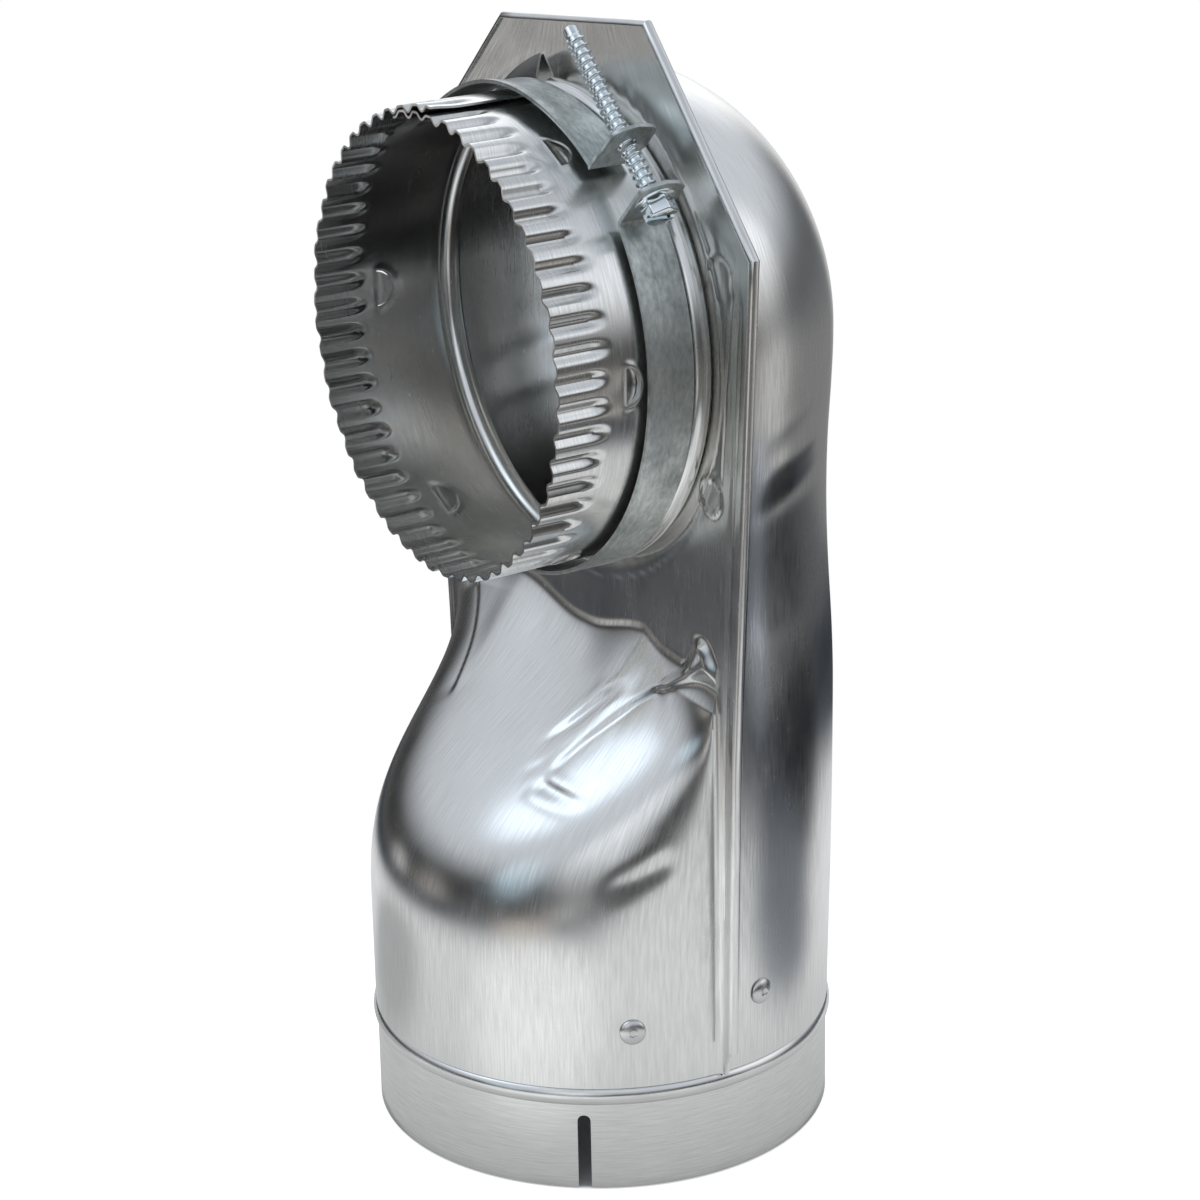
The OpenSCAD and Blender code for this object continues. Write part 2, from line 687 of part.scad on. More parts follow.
module clamp_screw() {
    head_play = 0.3;
    color("LightSteelBlue")
        on_outlet()
            rotate([0, 0, clamp_angle])
                translate([screw_rad, -ear_low_t - strap - head_play, screw_s])
                    rotate([-90, 0, 0])
                        screw_body();
}

// one domed blind rivet, set along +Z from the axis of the inlet
module rivet_body() {
    head_z = shell_r + 0.02;
    cap_r = (rivet_head_r * rivet_head_r + rivet_head_h * rivet_head_h) / (2 * rivet_head_h);
    tail_z = sleeve_r - sheet;
    difference() {
        rotate_extrude() {
            intersection() {
                translate([0, head_z + rivet_head_h - cap_r])
                    circle(cap_r);
                translate([0, head_z])
                    square([rivet_head_r, rivet_head_h]);
            }
            translate([0, tail_z - 0.5])
                square([rivet_r, head_z - tail_z + 0.6]);
            intersection() {
                translate([0, tail_z - 1.3])
                    circle(rivet_r + 0.7);
                translate([0, tail_z - 3])
                    square([rivet_r + 1, 2.98]);
            }
        }
        translate([0, 0, head_z + rivet_head_h - 0.35])
            cylinder(h = 1, r = 0.8);
    }
}

module rivets() {
    color("GhostWhite")
        rivet_places()
            rivet_body();
}

rear_shell();
front_shell();
base_collar();
outlet_collar();
clamp_strap();
clamp_screw();
rivets();
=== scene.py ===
import logging
import math
from dataclasses import dataclass
from enum import Enum
from typing import Any, Callable, Sequence

import bpy
import numpy as np
from mathutils import Matrix, Vector


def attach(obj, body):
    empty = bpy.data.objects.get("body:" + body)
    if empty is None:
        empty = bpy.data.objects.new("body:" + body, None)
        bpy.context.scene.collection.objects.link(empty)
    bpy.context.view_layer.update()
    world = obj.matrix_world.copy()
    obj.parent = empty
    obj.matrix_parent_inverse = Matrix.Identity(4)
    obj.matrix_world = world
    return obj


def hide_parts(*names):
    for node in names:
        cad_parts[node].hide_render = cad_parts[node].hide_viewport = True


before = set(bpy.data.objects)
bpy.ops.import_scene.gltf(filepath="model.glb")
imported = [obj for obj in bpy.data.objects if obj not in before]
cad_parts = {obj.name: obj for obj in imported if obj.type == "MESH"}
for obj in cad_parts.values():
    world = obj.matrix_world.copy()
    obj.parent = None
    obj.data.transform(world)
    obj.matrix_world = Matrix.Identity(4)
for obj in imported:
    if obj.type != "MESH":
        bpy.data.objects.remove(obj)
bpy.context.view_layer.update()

log = logging.getLogger("dryer_vent_elbow")

MM = 0.001
# farther than anything on the object, in millimetres
FAR = 1e9
Points = np.ndarray
Form = Callable[[Points, Points], Points]
PressedPath = tuple[tuple[float, float], ...]


class Body(Enum):
    """Bodies of the frame that a piece can ride on."""

    HOUSING = "housing"
    OUTLET = "outlet"
    CLAMP = "clamp"
    SCREW = "screw"


class Grain(Enum):
    """Direction of the rolling grain in the piece's own map, which is laid out in metres."""

    ALONG_U = (0.04, 1.0)
    ALONG_V = (1.0, 0.04)


def smooth(value: Points, low: float, high: float) -> Points:
    """Ease from 0 at low to 1 at high.

    Args:
        value: The numbers to ease.
        low: Where the ease starts.
        high: Where it ends.

    Returns:
        The eased numbers, from 0 to 1.
    """
    t = np.clip((value - low) / (high - low), 0.0, 1.0)
    return t * t * (3.0 - 2.0 * t)


def bell(distance: Points, width: float) -> Points:
    """A bell curve of height 1 and the given half width.

    Args:
        distance: Distance from the middle of the bell.
        width: Distance at which it has fallen to about a third.

    Returns:
        The height of the bell.
    """
    return np.exp(-((distance / width) ** 2))


def between(first: Points, second: Points, share: Points) -> Points:
    """Go the given share of the way from first to second."""
    return first + (second - first) * share


def ripple(a: Points, b: Points, seed: float) -> Points:
    """A gentle unevenness, as thin sheet has after stamping.

    Args:
        a: First coordinate in millimetres.
        b: Second coordinate in millimetres.
        seed: A number that shifts the pattern.

    Returns:
        A height between about -1 and 1.
    """
    return (
        np.sin(a / 17.0 + 1.3 * np.sin(b / 41.0 + seed) + seed)
        + 0.7 * np.sin(b / 29.0 + 1.1 * np.sin(a / 23.0 - seed) + 2.0 * seed)
        + 0.4 * np.sin((a + b) / 13.0 + 3.0 * seed)
    ) / 2.1


def to_polyline(a: Points, b: Points, line: Sequence[tuple[float, float]]) -> tuple[Points, Points]:
    """Where points are beside a drawn line.

    Args:
        a: First coordinate of the points.
        b: Second coordinate of the points.
        line: Corners of the line.

    Returns:
        The distance, positive left of the line, and the place along it from 0 to 1.
    """
    best = np.full(a.shape, FAR)
    signed = np.zeros(a.shape)
    place = np.zeros(a.shape)
    total = sum(math.dist(p, q) for p, q in zip(line, line[1:]))
    run = 0.0
    for (ax, ay), (bx, by) in zip(line, line[1:]):
        length = math.hypot(bx - ax, by - ay)
        dx, dy = (bx - ax) / length, (by - ay) / length
        t = np.clip((a - ax) * dx + (b - ay) * dy, 0.0, length)
        off = np.hypot(a - ax - t * dx, b - ay - t * dy)
        side = np.sign(dx * (b - ay) - dy * (a - ax))
        nearer = off < best
        best = np.where(nearer, off, best)
        signed = np.where(nearer, side * off, signed)
        place = np.where(nearer, (run + t) / total, place)
        run += length
    return signed, place


@dataclass(frozen=True)
class PressedLine:
    """A line pressed into sheet: ridges and valleys beside a drawn line, faded at its two ends."""

    line: PressedPath
    # shares of the line at which it is full after its start, and starts to fade before its end
    full_from: float
    full_to: float
    # offset to the left of the line, half width and height of each ridge, in millimetres
    ridges: tuple[tuple[float, float, float], ...]

    def height(self, a: Points, b: Points) -> Points:
        """Height of the ridges.

        Args:
            a: First coordinate of the points.
            b: Second coordinate of the points.

        Returns:
            Height in millimetres.
        """
        side, place = to_polyline(a, b, self.line)
        shown = smooth(place, 0.0, self.full_from) * smooth(place, 1.0, self.full_to)
        return shown * sum(rise * bell(side - offset, width) for offset, width, rise in self.ridges)


# Making pieces


def deselect_all() -> None:
    """Leave nothing selected, in object mode."""
    if bpy.context.active_object and bpy.context.active_object.mode != "OBJECT":
        bpy.ops.object.mode_set(mode="OBJECT")
    bpy.ops.object.select_all(action="DESELECT")


def make_active(piece: bpy.types.Object) -> None:
    """Select one piece alone and make it active.

    Args:
        piece: The piece to select.
    """
    deselect_all()
    piece.select_set(True)
    bpy.context.view_layer.objects.active = piece


def draped(name: str, columns: int, rows: int, form: Form, turned: bool = False) -> bpy.types.Object:
    """Add a grid and drape it over a drawn form.

    Args:
        name: Name of the piece.
        columns: Number of faces along u.
        rows: Number of faces along v.
        form: Gives the place in millimetres for u and v from 0 to 1. Its outer side is du cross dv.
        turned: Whether the map is turned a quarter, so that a grain along v runs along u.

    Returns:
        The draped sheet, with a map in metres along its surface.
    """
    deselect_all()
    bpy.ops.mesh.primitive_grid_add(x_subdivisions=columns, y_subdivisions=rows, size=2.0)
    piece = bpy.context.active_object
    piece.name = piece.data.name = name
    mesh = piece.data
    flat = np.empty(len(mesh.vertices) * 3)
    mesh.vertices.foreach_get("co", flat)
    flat = flat.reshape(-1, 3)
    i = np.rint((flat[:, 0] + 1.0) / 2.0 * columns).astype(int)
    j = np.rint((flat[:, 1] + 1.0) / 2.0 * rows).astype(int)
    place = form(i / columns, j / rows)
    table = np.zeros((rows + 1, columns + 1, 3))
    table[j, i] = place
    run_u = np.linalg.norm(np.diff(table, axis=1), axis=2).mean(axis=0)
    run_v = np.linalg.norm(np.diff(table, axis=0), axis=2).mean(axis=1)
    along_u = np.concatenate([[0.0], np.cumsum(run_u)]) * MM
    along_v = np.concatenate([[0.0], np.cumsum(run_v)]) * MM
    mesh.vertices.foreach_set("co", (place * MM).ravel())
    corner = np.empty(len(mesh.loops), dtype=np.int64)
    mesh.loops.foreach_get("vertex_index", corner)
    layer = mesh.uv_layers.active or mesh.uv_layers.new(name="Sheet")
    chart = [along_u[i[corner]], along_v[j[corner]]]
    layer.data.foreach_set("uv", np.stack(chart[::-1] if turned else chart, axis=1).ravel())
    mesh.update()
    return piece


def finish_modifier(piece: bpy.types.Object, kind: str, **settings: Any) -> None:
    """Add a modifier and apply it.

    Args:
        piece: The piece to change.
        kind: Blender's type of the modifier.
        settings: Its settings.
    """
    make_active(piece)
    modifier = piece.modifiers.new(kind.title(), kind)
    for key, value in settings.items():
        setattr(modifier, key, value)
    bpy.ops.object.modifier_apply(modifier=modifier.name)


def give_wall(piece: bpy.types.Object, thickness: float) -> None:
    """Thicken a draped sheet inwards.

    Args:
        piece: The sheet.
        thickness: Its thickness in millimetres.
    """
    finish_modifier(piece, "SOLIDIFY", thickness=thickness * MM, offset=-1.0, use_even_offset=False, use_rim=True)


def close_round(piece: bpy.types.Object) -> None:
    """Merge the first and last columns of a sheet that goes all the way round.

    Args:
        piece: The sheet.
    """
    make_active(piece)
    bpy.ops.object.mode_set(mode="EDIT")
    bpy.ops.mesh.select_all(action="SELECT")
    bpy.ops.mesh.remove_doubles(threshold=1e-6)
    bpy.ops.object.mode_set(mode="OBJECT")


def joined(name: str, pieces: Sequence[bpy.types.Object]) -> bpy.types.Object:
    """Join pieces into one.

    Args:
        name: Name of the joined piece.
        pieces: The pieces, of which the first is kept.

    Returns:
        The joined piece.
    """
    deselect_all()
    for piece in pieces:
        piece.select_set(True)
    bpy.context.view_layer.objects.active = pieces[0]
    if len(pieces) > 1:
        bpy.ops.object.join()
    pieces[0].name = pieces[0].data.name = name
    return pieces[0]


def settle(piece: bpy.types.Object) -> None:
    """Put the place of a piece into its mesh, so that its object sits at the origin.

    Args:
        piece: The piece.
    """
    make_active(piece)
    bpy.ops.object.transform_apply(location=True, rotation=True, scale=True)


def cut_away(piece: bpy.types.Object, cutters: Sequence[bpy.types.Object]) -> None:
    """Cut the cutters out of a piece and remove them.

    Args:
        piece: The piece to cut.
        cutters: Closed shapes, which do not touch each other.
    """
    cutter = joined("cutter", cutters)
    settle(cutter)
    finish_modifier(piece, "BOOLEAN", operation="DIFFERENCE", solver="EXACT", object=cutter)
    bpy.data.objects.remove(cutter, do_unlink=True)


def stand_at(piece: bpy.types.Object, place: Matrix) -> None:
    """Stand a piece in a place that is given in millimetres.

    Args:
        piece: The piece.
        place: Where its own origin and axes go.
    """
    spot = place.copy()
    spot.translation = place.translation * MM
    piece.matrix_world = spot


def round_bar(radius: float, length: float, place: Matrix, sides: int = 64) -> bpy.types.Object:
    """A round bar along the local Z of place, for holes and pins.

    Args:
        radius: Radius in millimetres.
        length: Length in millimetres, half on each side.
        place: Where its middle is, in millimetres.
        sides: Number of sides.

    Returns:
        The bar.
    """
    deselect_all()
    bpy.ops.mesh.primitive_cylinder_add(vertices=sides, radius=radius * MM, depth=length * MM)
    bar = bpy.context.active_object
    stand_at(bar, place)
    return bar


def lathe(
    name: str,
    profile: Sequence[tuple[float, float]],
    place: Matrix,
    sides: int,
    seam: float = 0.0,
    gaps: Points | float = 0.0,
) -> bpy.types.Object:
    """Turn a profile round the local Z of place.

    Args:
        name: Name of the piece.
        profile: Radius and height of its points in millimetres, upwards on the outside.
        place: Where the axis is, in millimetres.
        sides: Number of sides.
        seam: Angle of the seam, in radians.
        gaps: Half angle that stays open at the seam beside each point, in radians.

    Returns:
        The turned skin.
    """
    radii, heights = np.array(profile).T
    last = len(profile) - 1
    half_open = np.broadcast_to(gaps, radii.shape)
    turn, start = np.array(place.to_3x3()), np.array(place.translation)

    def form(u: Points, v: Points) -> Points:
        """Places on the turned skin.

        Args:
            u: Share of the way round, from the seam.
            v: Share of the way along the profile.

        Returns:
            Places in millimetres.
        """
        row = np.rint(v * last).astype(int)
        a = seam + half_open[row] + (2.0 * math.pi - 2.0 * half_open[row]) * u
        return np.stack([radii[row] * np.cos(a), radii[row] * np.sin(a), heights[row]], axis=1) @ turn.T + start

    piece = draped(name, sides, last, form)
    close_round(piece)
    return piece


def bead_arc(radius: float, low: float, high: float, stand: float, count: int) -> list[tuple[float, float]]:
    """Section of a rolled bead, an arc that stands out of a tube.

    Args:
        radius: Radius of the tube.
        low: Height at which the bead starts.
        high: Height at which it ends.
        stand: How far it stands out.
        count: Number of its points.

    Returns:
        Radius and height of the points.
    """
    r_bead = (stand**2 + (high - low) ** 2 / 4) / (2 * stand)
    turn = math.asin((high - low) / 2 / r_bead)
    centre, middle = radius + stand - r_bead, (low + high) / 2
    return [(centre + r_bead * math.cos(a), middle + r_bead * math.sin(a)) for a in np.linspace(-turn, turn, count)]


def axis_place(origin: Sequence[float], axis: Sequence[float]) -> Matrix:
    """A frame at origin whose Z is the axis.

    Args:
        origin: Place in millimetres.
        axis: Direction.

    Returns:
        The frame.
    """
    turned = Vector(axis).normalized().to_track_quat("Z", "Y").to_matrix().to_4x4()
    turned.translation = Vector(origin)
    return turned


def hand_over(piece: bpy.types.Object, body: Body, finish: bpy.types.Material, angle: float = 40.0) -> None:
    """Shade a finished piece, dress it and let it ride on its body.

    Args:
        piece: The piece.
        body: The body that carries it.
        finish: Its material.
        angle: Edges sharper than this, in degrees, stay sharp.
    """
    settle(piece)
    piece.data.materials.clear()
    piece.data.materials.append(finish)
    bpy.ops.object.shade_smooth_by_angle(angle=math.radians(angle))
    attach(piece, body.value)
    log.info("piece %s rides on %s", piece.name, body.value)


# Finishes


def linear(colour: str) -> tuple[float, float, float, float]:
    """Turn an sRGB hex colour to a linear one.

    Args:
        colour: Six hex digits after a hash.

    Returns:
        Linear red, green, blue and 1.
    """
    values = [int(colour[k : k + 2], 16) / 255.0 for k in (1, 3, 5)]
    red, green, blue = (c / 12.92 if c <= 0.04045 else ((c + 0.055) / 1.055) ** 2.4 for c in values)
    return red, green, blue, 1.0


def lit_colour(colour: str, level: float) -> tuple[float, float, float, float]:
    """The linear colour of an sRGB one at a level of brightness."""
    red, green, blue, _ = linear(colour)
    return red * level, green * level, blue * level, 1.0


def add_node(tree: bpy.types.NodeTree, kind: str, inputs: dict[str | int, Any], **settings: Any) -> bpy.types.Node:
    """Add a node with its settings, values and links.

    Args:
        tree: The tree that gets the node.
        kind: Blender's type of the node.
        inputs: A value, another node's socket, or a node for its first socket, for each input.
        settings: The node's settings.

    Returns:
        The node.
    """
    node = tree.nodes.new(kind)
    for key, value in settings.items():
        setattr(node, key, value)
    for key, given in inputs.items():
        value = given.outputs[0] if isinstance(given, bpy.types.Node) else given
        if isinstance(value, bpy.types.NodeSocket):
            tree.links.new(value, node.inputs[key])
        else:
            node.inputs[key].default_value = value
    return node


def new_material(name: str) -> tuple[bpy.types.Material, bpy.types.NodeTree]:
    """A material with only its output node.

    Args:
        name: Name of the material.

    Returns:
        The material and its tree.
    """
    material = bpy.data.materials.new(name)
    material.use_nodes = True
    for node in list(material.node_tree.nodes):
        if node.type != "OUTPUT_MATERIAL":
            material.node_tree.nodes.remove(node)
    return material, material.node_tree


def show(tree: bpy.types.NodeTree, shader: bpy.types.Node) -> None:
    """Link a shader to the output of its tree."""
    out = next(node for node in tree.nodes if node.type.startswith("OUTPUT"))
    tree.links.new(shader.outputs[0], out.inputs[0])


def bare_metal(
    tree: bpy.types.NodeTree, colour: Any, rough: bpy.types.Node, relief: bpy.types.Node, strength: float, depth: float
) -> None:
    """Finish bare metal from its colour, roughness and relief.

    Args:
        tree: The material's tree.
        colour: Its colour, or the socket that gives it.
        rough: Gives its roughness.
        relief: Gives the height of its relief.
        strength: How strongly the relief shows.
        depth: Depth of the relief in millimetres.
    """
    bump = add_node(tree, "ShaderNodeBump", {"Height": relief, "Strength": strength, "Distance": depth * MM})
    surface = {"Base Color": colour, "Metallic": 1.0, "Roughness": rough, "Normal": bump}
    show(tree, add_node(tree, "ShaderNodeBsdfPrincipled", surface))


@dataclass(frozen=True)
class MillFinishSheet:
    """Mill-finish aluminium sheet: the rolling leaves fine lines one way, with dull clouds and a few scratches."""

    name: str
    grain: Grain
    pale: str = "#E8E8E6"
    dull: str = "#CBCBC8"
    smooth_rough: float = 0.15
    dull_rough: float = 0.3
    # rolling lines are about 0.2 mm apart, drawn a little coarser so that they show
    line_mm: float = 0.36
    cloud_mm: float = 22.0
    # spacing of the fine scratches across the grain
    nick_mm: float = 2.4038
    grain_depth_mm: float = 0.012

    def build(self) -> bpy.types.Material:
        """Build the material.

        Returns:
            The material.
        """
        material, tree = new_material(self.name)
        chart = add_node(tree, "ShaderNodeTexCoord", {})
        grain = add_node(tree, "ShaderNodeMapping", {"Vector": chart.outputs["UV"], "Scale": (*self.grain.value, 1.0)})
        lines = add_node(
            tree,
            "ShaderNodeTexNoise",
            {"Vector": grain, "Scale": 1.0 / (self.line_mm * MM), "Detail": 3.0, "Roughness": 0.6},
        )
        clouds = add_node(
            tree,
            "ShaderNodeTexNoise",
            {"Vector": chart.outputs["Object"], "Scale": 1.0 / (self.cloud_mm * MM), "Detail": 4.0, "Roughness": 0.55},
        )
        nicks = add_node(
            tree,
            "ShaderNodeTexVoronoi",
            {"Vector": grain, "Scale": 1.0 / (self.nick_mm * MM)},
            feature="DISTANCE_TO_EDGE",
        )
        nick_mask = add_node(
            tree,
            "ShaderNodeMapRange",
            {"Value": nicks.outputs["Distance"], "From Max": 0.02, "To Min": 1.0, "To Max": 0.0},
        )
        shown_nicks = add_node(tree, "ShaderNodeMath", {0: nick_mask, 1: clouds}, operation="MULTIPLY")
        tone = add_node(
            tree, "ShaderNodeMapRange", {"Value": lines, "From Min": 0.3, "From Max": 0.7, "To Max": 0.55}
        )
        colour = add_node(
            tree, "ShaderNodeMix", {"Factor": tone, 6: linear(self.pale), 7: linear(self.dull)}, data_type="RGBA"
        )
        spread = add_node(tree, "ShaderNodeMath", {0: lines, 1: clouds}, operation="ADD")
        from_to = {"From Min": 0.65, "From Max": 1.35, "To Min": self.smooth_rough, "To Max": self.dull_rough}
        rough = add_node(tree, "ShaderNodeMapRange", {"Value": spread, **from_to})
        relief = add_node(tree, "ShaderNodeMath", {0: lines, 1: shown_nicks}, operation="SUBTRACT")
        bare_metal(tree, colour.outputs[2], rough, relief, 0.5, self.grain_depth_mm)
        return material


@dataclass(frozen=True)
class GalvanisedStrip:
    """Galvanised steel strip: a dull grey-green zinc skin, mottled and pitted."""

    name: str = "galvanised_steel_strip"
    pale: str = "#D6DAD8"
    dull: str = "#9CA3A0"
    mottle_mm: float = 1.1
    blot_mm: float = 11.11
    pit_mm: float = 1.76
    pit_depth_mm: float = 0.04
    bright_rough: float = 0.36
    dull_rough: float = 0.5

    def build(self) -> bpy.types.Material:
        """Build the material.

        Returns:
            The material.
        """
        material, tree = new_material(self.name)
        chart = add_node(tree, "ShaderNodeTexCoord", {}).outputs["UV"]
        # the strip was rolled, which draws the mottle out along it
        place = add_node(tree, "ShaderNodeMapping", {"Vector": chart, "Scale": (0.5, 1.0, 1.0)})
        mottle = add_node(
            tree,
            "ShaderNodeTexNoise",
            {"Vector": place, "Scale": 1.0 / (self.mottle_mm * MM), "Detail": 5.0, "Roughness": 0.65},
        )
        blot = add_node(
            tree, "ShaderNodeTexNoise", {"Vector": chart, "Scale": 1.0 / (self.blot_mm * MM), "Detail": 2.0}
        )
        both = add_node(tree, "ShaderNodeMath", {0: mottle, 1: blot}, operation="ADD")
        tone = add_node(tree, "ShaderNodeMapRange", {"Value": both, "From Min": 0.75, "From Max": 1.25})
        colour = add_node(
            tree, "ShaderNodeMix", {"Factor": tone, 6: linear(self.dull), 7: linear(self.pale)}, data_type="RGBA"
        )
        pits = add_node(tree, "ShaderNodeTexVoronoi", {"Vector": place, "Scale": 1.0 / (self.pit_mm * MM)})
        pit_mask = add_node(
            tree, "ShaderNodeMapRange", {"Value": pits.outputs["Distance"], "From Min": 0.02, "From Max": 0.16}
        )
        relief = add_node(tree, "ShaderNodeMath", {0: mottle, 1: pit_mask}, operation="ADD")
        from_to = {"From Min": 0.7, "From Max": 1.3, "To Min": self.dull_rough, "To Max": self.bright_rough}
        rough = add_node(tree, "ShaderNodeMapRange", {"Value": both, **from_to})
        bare_metal(tree, colour.outputs[2], rough, relief, 0.5, self.pit_depth_mm)
        return material


@dataclass(frozen=True)
class PlatedScrew:
    """Bright zinc-plated steel, bluish, with a slight haze, and drawn aluminium, which is greyer and duller."""

    name: str
    colour: str
    rough_low: float
    rough_high: float
    haze_mm: float = 1.6
    haze_depth_mm: float = 0.02

    def build(self) -> bpy.types.Material:
        """Build the material.

        Returns:
            The material.
        """
        material, tree = new_material(self.name)
        chart = add_node(tree, "ShaderNodeTexCoord", {}).outputs["Object"]
        haze = add_node(
            tree, "ShaderNodeTexNoise", {"Vector": chart, "Scale": 1.0 / (self.haze_mm * MM), "Detail": 3.0}
        )
        rough = add_node(
            tree, "ShaderNodeMapRange", {"Value": haze, "To Min": self.rough_low, "To Max": self.rough_high}
        )
        bare_metal(tree, linear(self.colour), rough, haze, 0.15, self.haze_depth_mm)
        return material


# The object


@dataclass
class Housing:
    """The two stamped half shells with their seam, and the inlet collar under them."""

    inlet_r: float = 52.0
    sheet: float = 0.5
    bead_low: float = 20.4
    bead_high: float = 24.4
    bead_out: float = 0.9
    shell_r: float = 52.3
    shell_low: float = 24.5
    plate_y: float = -2.6
    flange_y: float = -1.6
    fillet: float = 1.6
    window_top: float = 125.5
    outlet_z: float = 184.6
    hole_r: float = 51.1
    shoulder: tuple[float, float] = (48.0, 118.5)
    run_out: float = 0.8
    # set back of the front sheet from the hem's outer line, and the rear flange from it
    hem_fold: float = 0.75
    flange_gap: float = 0.1
    # half width and reach of the hem's lip behind the flange
    hem_lip: float = 3.4
    hem_clear_half: float = 54.6
    # faces along each edge of the hem
    hem_counts: tuple[int, ...] = (12, 6, 14, 10, 10, 10, 14, 6, 12)
    # the pressed land round the outlet's bead, and the middles of the marks in the plate
    land_r: float = 55.2
    high_mark: tuple[float, float] = (54.4, 205.2)
    low_mark: tuple[float, float] = (50.4, 157.3)
    dome_r: float = 57.0
    dome_depth: float = 52.6
    belly_depth: float = 55.6
    waist_depth: float = 51.7
    # how far below the outlet's axis the rear channel is deepest, and narrowest
    belly_below: float = 85.0
    waist_below: float = 25.0
    outline: tuple[tuple[float, float], ...] = (
        (54.0, 28.0),
        (56.3, 30.6),
        (58.575, 100.644),
        (59.667, 120.4),
        (65.4, 210.2),
    )
    top_right: tuple[float, float] = (28.0, 252.9)
    top_left: tuple[float, float] = (-28.0, 247.1)
    sleeve: float = 22.0
    slot_half: float = 1.45
    slot_top: float = 17.9
    slot_angle: float = -37.5
    # the two halves of the long fold beside the shoulder: its line on each side, and how far it steps
    right_fold: PressedPath = (
        (37.0, 112.2), (34.2, 110.0), (30.7, 106.7), (27.8, 102.6), (25.2, 98.6), (23.8, 95.2), (23.3, 91.6),
    )
    left_fold: PressedPath = (
        (42.5, 116.0), (40.6, 112.6), (38.0, 110.0), (35.6, 107.6),
        (33.0, 105.0), (30.4, 102.0), (27.6, 98.6), (23.4, 94.0),
    )
    fold_step: tuple[float, float] = (0.6, 0.85)
    # beside the right fold: the wrinkle above it, a small one at its foot, and the pocket at its lower end
    presses: tuple[PressedLine, ...] = (
        PressedLine(
            ((26.4, 110.8), (24.6, 107.8), (22.2, 104.4), (19.8, 100.8), (17.2, 97.0), (14.8, 93.4)),
            0.3,
            0.6,
            ((-2.5, 2.0, 0.6), (0.0, 1.5, -0.95), (2.5, 1.5, 0.25)),
        ),
        PressedLine(((21.6, 94.4), (19.0, 92.0), (16.0, 89.8)), 0.4, 0.5, ((0.0, 1.3, -0.25),)),
        PressedLine(
            ((21.6, 90.6), (23.6, 89.8), (26.0, 89.3), (29.0, 88.8), (32.0, 88.2), (36.0, 87.4)),
            0.22,
            0.4,
            ((1.8, 1.2, 0.42), (0.0, 1.2, -0.6), (-2.1, 1.4, 0.4)),
        ),
    )
    # the horn above the fold runs from its root at the fold to its open mouth at the seam
    horn: PressedPath = ((33.6, 109.6), (49.6, 120.4))
    belly_dent: PressedLine = PressedLine(
        ((33.0, 69.5), (24.0, 73.0), (13.0, 78.5)), 0.3, 0.7, ((-5.0, 3.2, 0.12), (0.0, 2.8, -0.26))
    )
    # radius and height of a rivet's dome, and angle and height of each rivet
    rivet_head: tuple[float, float] = (2.95, 1.08)
    rivets: tuple[tuple[float, float], ...] = ((-25.4, 38.0), (205.4, 38.0), (9.6, 41.0), (170.4, 41.0))

    @property
    def window_half(self) -> float:
        """Half width of the bulge where it leaves the plate."""
        return self.shell_r + self.fillet

    def loop(self, inset: float) -> list[tuple[float, float]]:
        """Corners of the plate from the lower right round to the lower left, moved inwards.

        Args:
            inset: How far the edges are moved inwards.

        Returns:
            Sideways place and height of the corners.
        """
        right = list(self.outline[1:])
        corners = right + [self.top_right, self.top_left] + [(-x, z) for x, z in reversed(right)]
        low = (-corners[0][0], corners[0][1])
        ring = [low] + corners + [corners[0]]
        moved = []
        for (ax, az), (bx, bz), (cx, cz) in zip(ring, ring[1:], ring[2:]):
            first, second = math.hypot(bx - ax, bz - az), math.hypot(cx - bx, cz - bz)
            n1 = (-(bz - az) / first, (bx - ax) / first)
            n2 = (-(cz - bz) / second, (cx - bx) / second)
            k = inset / (1.0 + n1[0] * n2[0] + n1[1] * n2[1])
            moved.append((bx + k * (n1[0] + n2[0]), bz + k * (n1[1] + n2[1])))
        return moved

    def edge_half(self, z: Points) -> Points:
        """Half width of the plate at each height, below its sloping corners.

        Args:
            z: Heights in millimetres.

        Returns:
            Half widths in millimetres.
        """
        return np.interp(z, [p[1] for p in self.outline], [p[0] for p in self.outline])

    def fall(self, x: Points, z: Points) -> Points:
        """Depth of the shoulder in front of the plate.

        Args:
            x: Sideways place.
            z: Height.

        Returns:
            Depth in millimetres.
        """
        low, high = self.shoulder
        side = np.abs(x / self.shell_r)
        rise = -2.4 + 5.0 * smooth(np.abs(x), 2.0, 26.0) - np.where(x > 0, 2.5, 0.6) * smooth(np.abs(x), 23.5, 32.0)
        t = (z + 4.0 * side**3 - rise * smooth(z, 96.0, 114.0) - low) / (high - low)
        inner = np.clip(t, 0.0, 1.0)
        p, q = inner**2.8, (1.0 - inner) ** 1.1
        depth = (self.shell_r + self.plate_y) * (1.0 - p / (p + q) - 0.75 * np.maximum(t - 1.0, 0.0))
        w = self.run_out
        return np.where(depth > w, depth, np.where(depth < -w, 0.0, (depth + w) ** 2 / (4.0 * w)))

    def creases(self, x: Points, z: Points) -> Points:
        """Height of the creases and folds that the draw leaves beside the shoulder.

        Args:
            x: Sideways place.
            z: Height.

        Returns:
            Height in millimetres, outwards.
        """
        ax = np.abs(x)
        on_right = (x > 0) * 1.0
        height = np.zeros_like(x)
        # the long fold: the sheet above it laps a little over the sheet below
        for fold, here, rise in zip((self.right_fold, self.left_fold), (on_right, 1.0 - on_right), self.fold_step):
            side, place = to_polyline(ax, z, fold)
            step = -rise * np.tanh(side / 0.85) * np.exp(-np.abs(side) / 4.2) - 0.16 * bell(side - 0.6, 0.9)
            height += here * smooth(place, 1.0, 0.85) * smooth(place, 0.0, 0.15) * step
        for press in self.presses:
            height += on_right * press.height(ax, z)
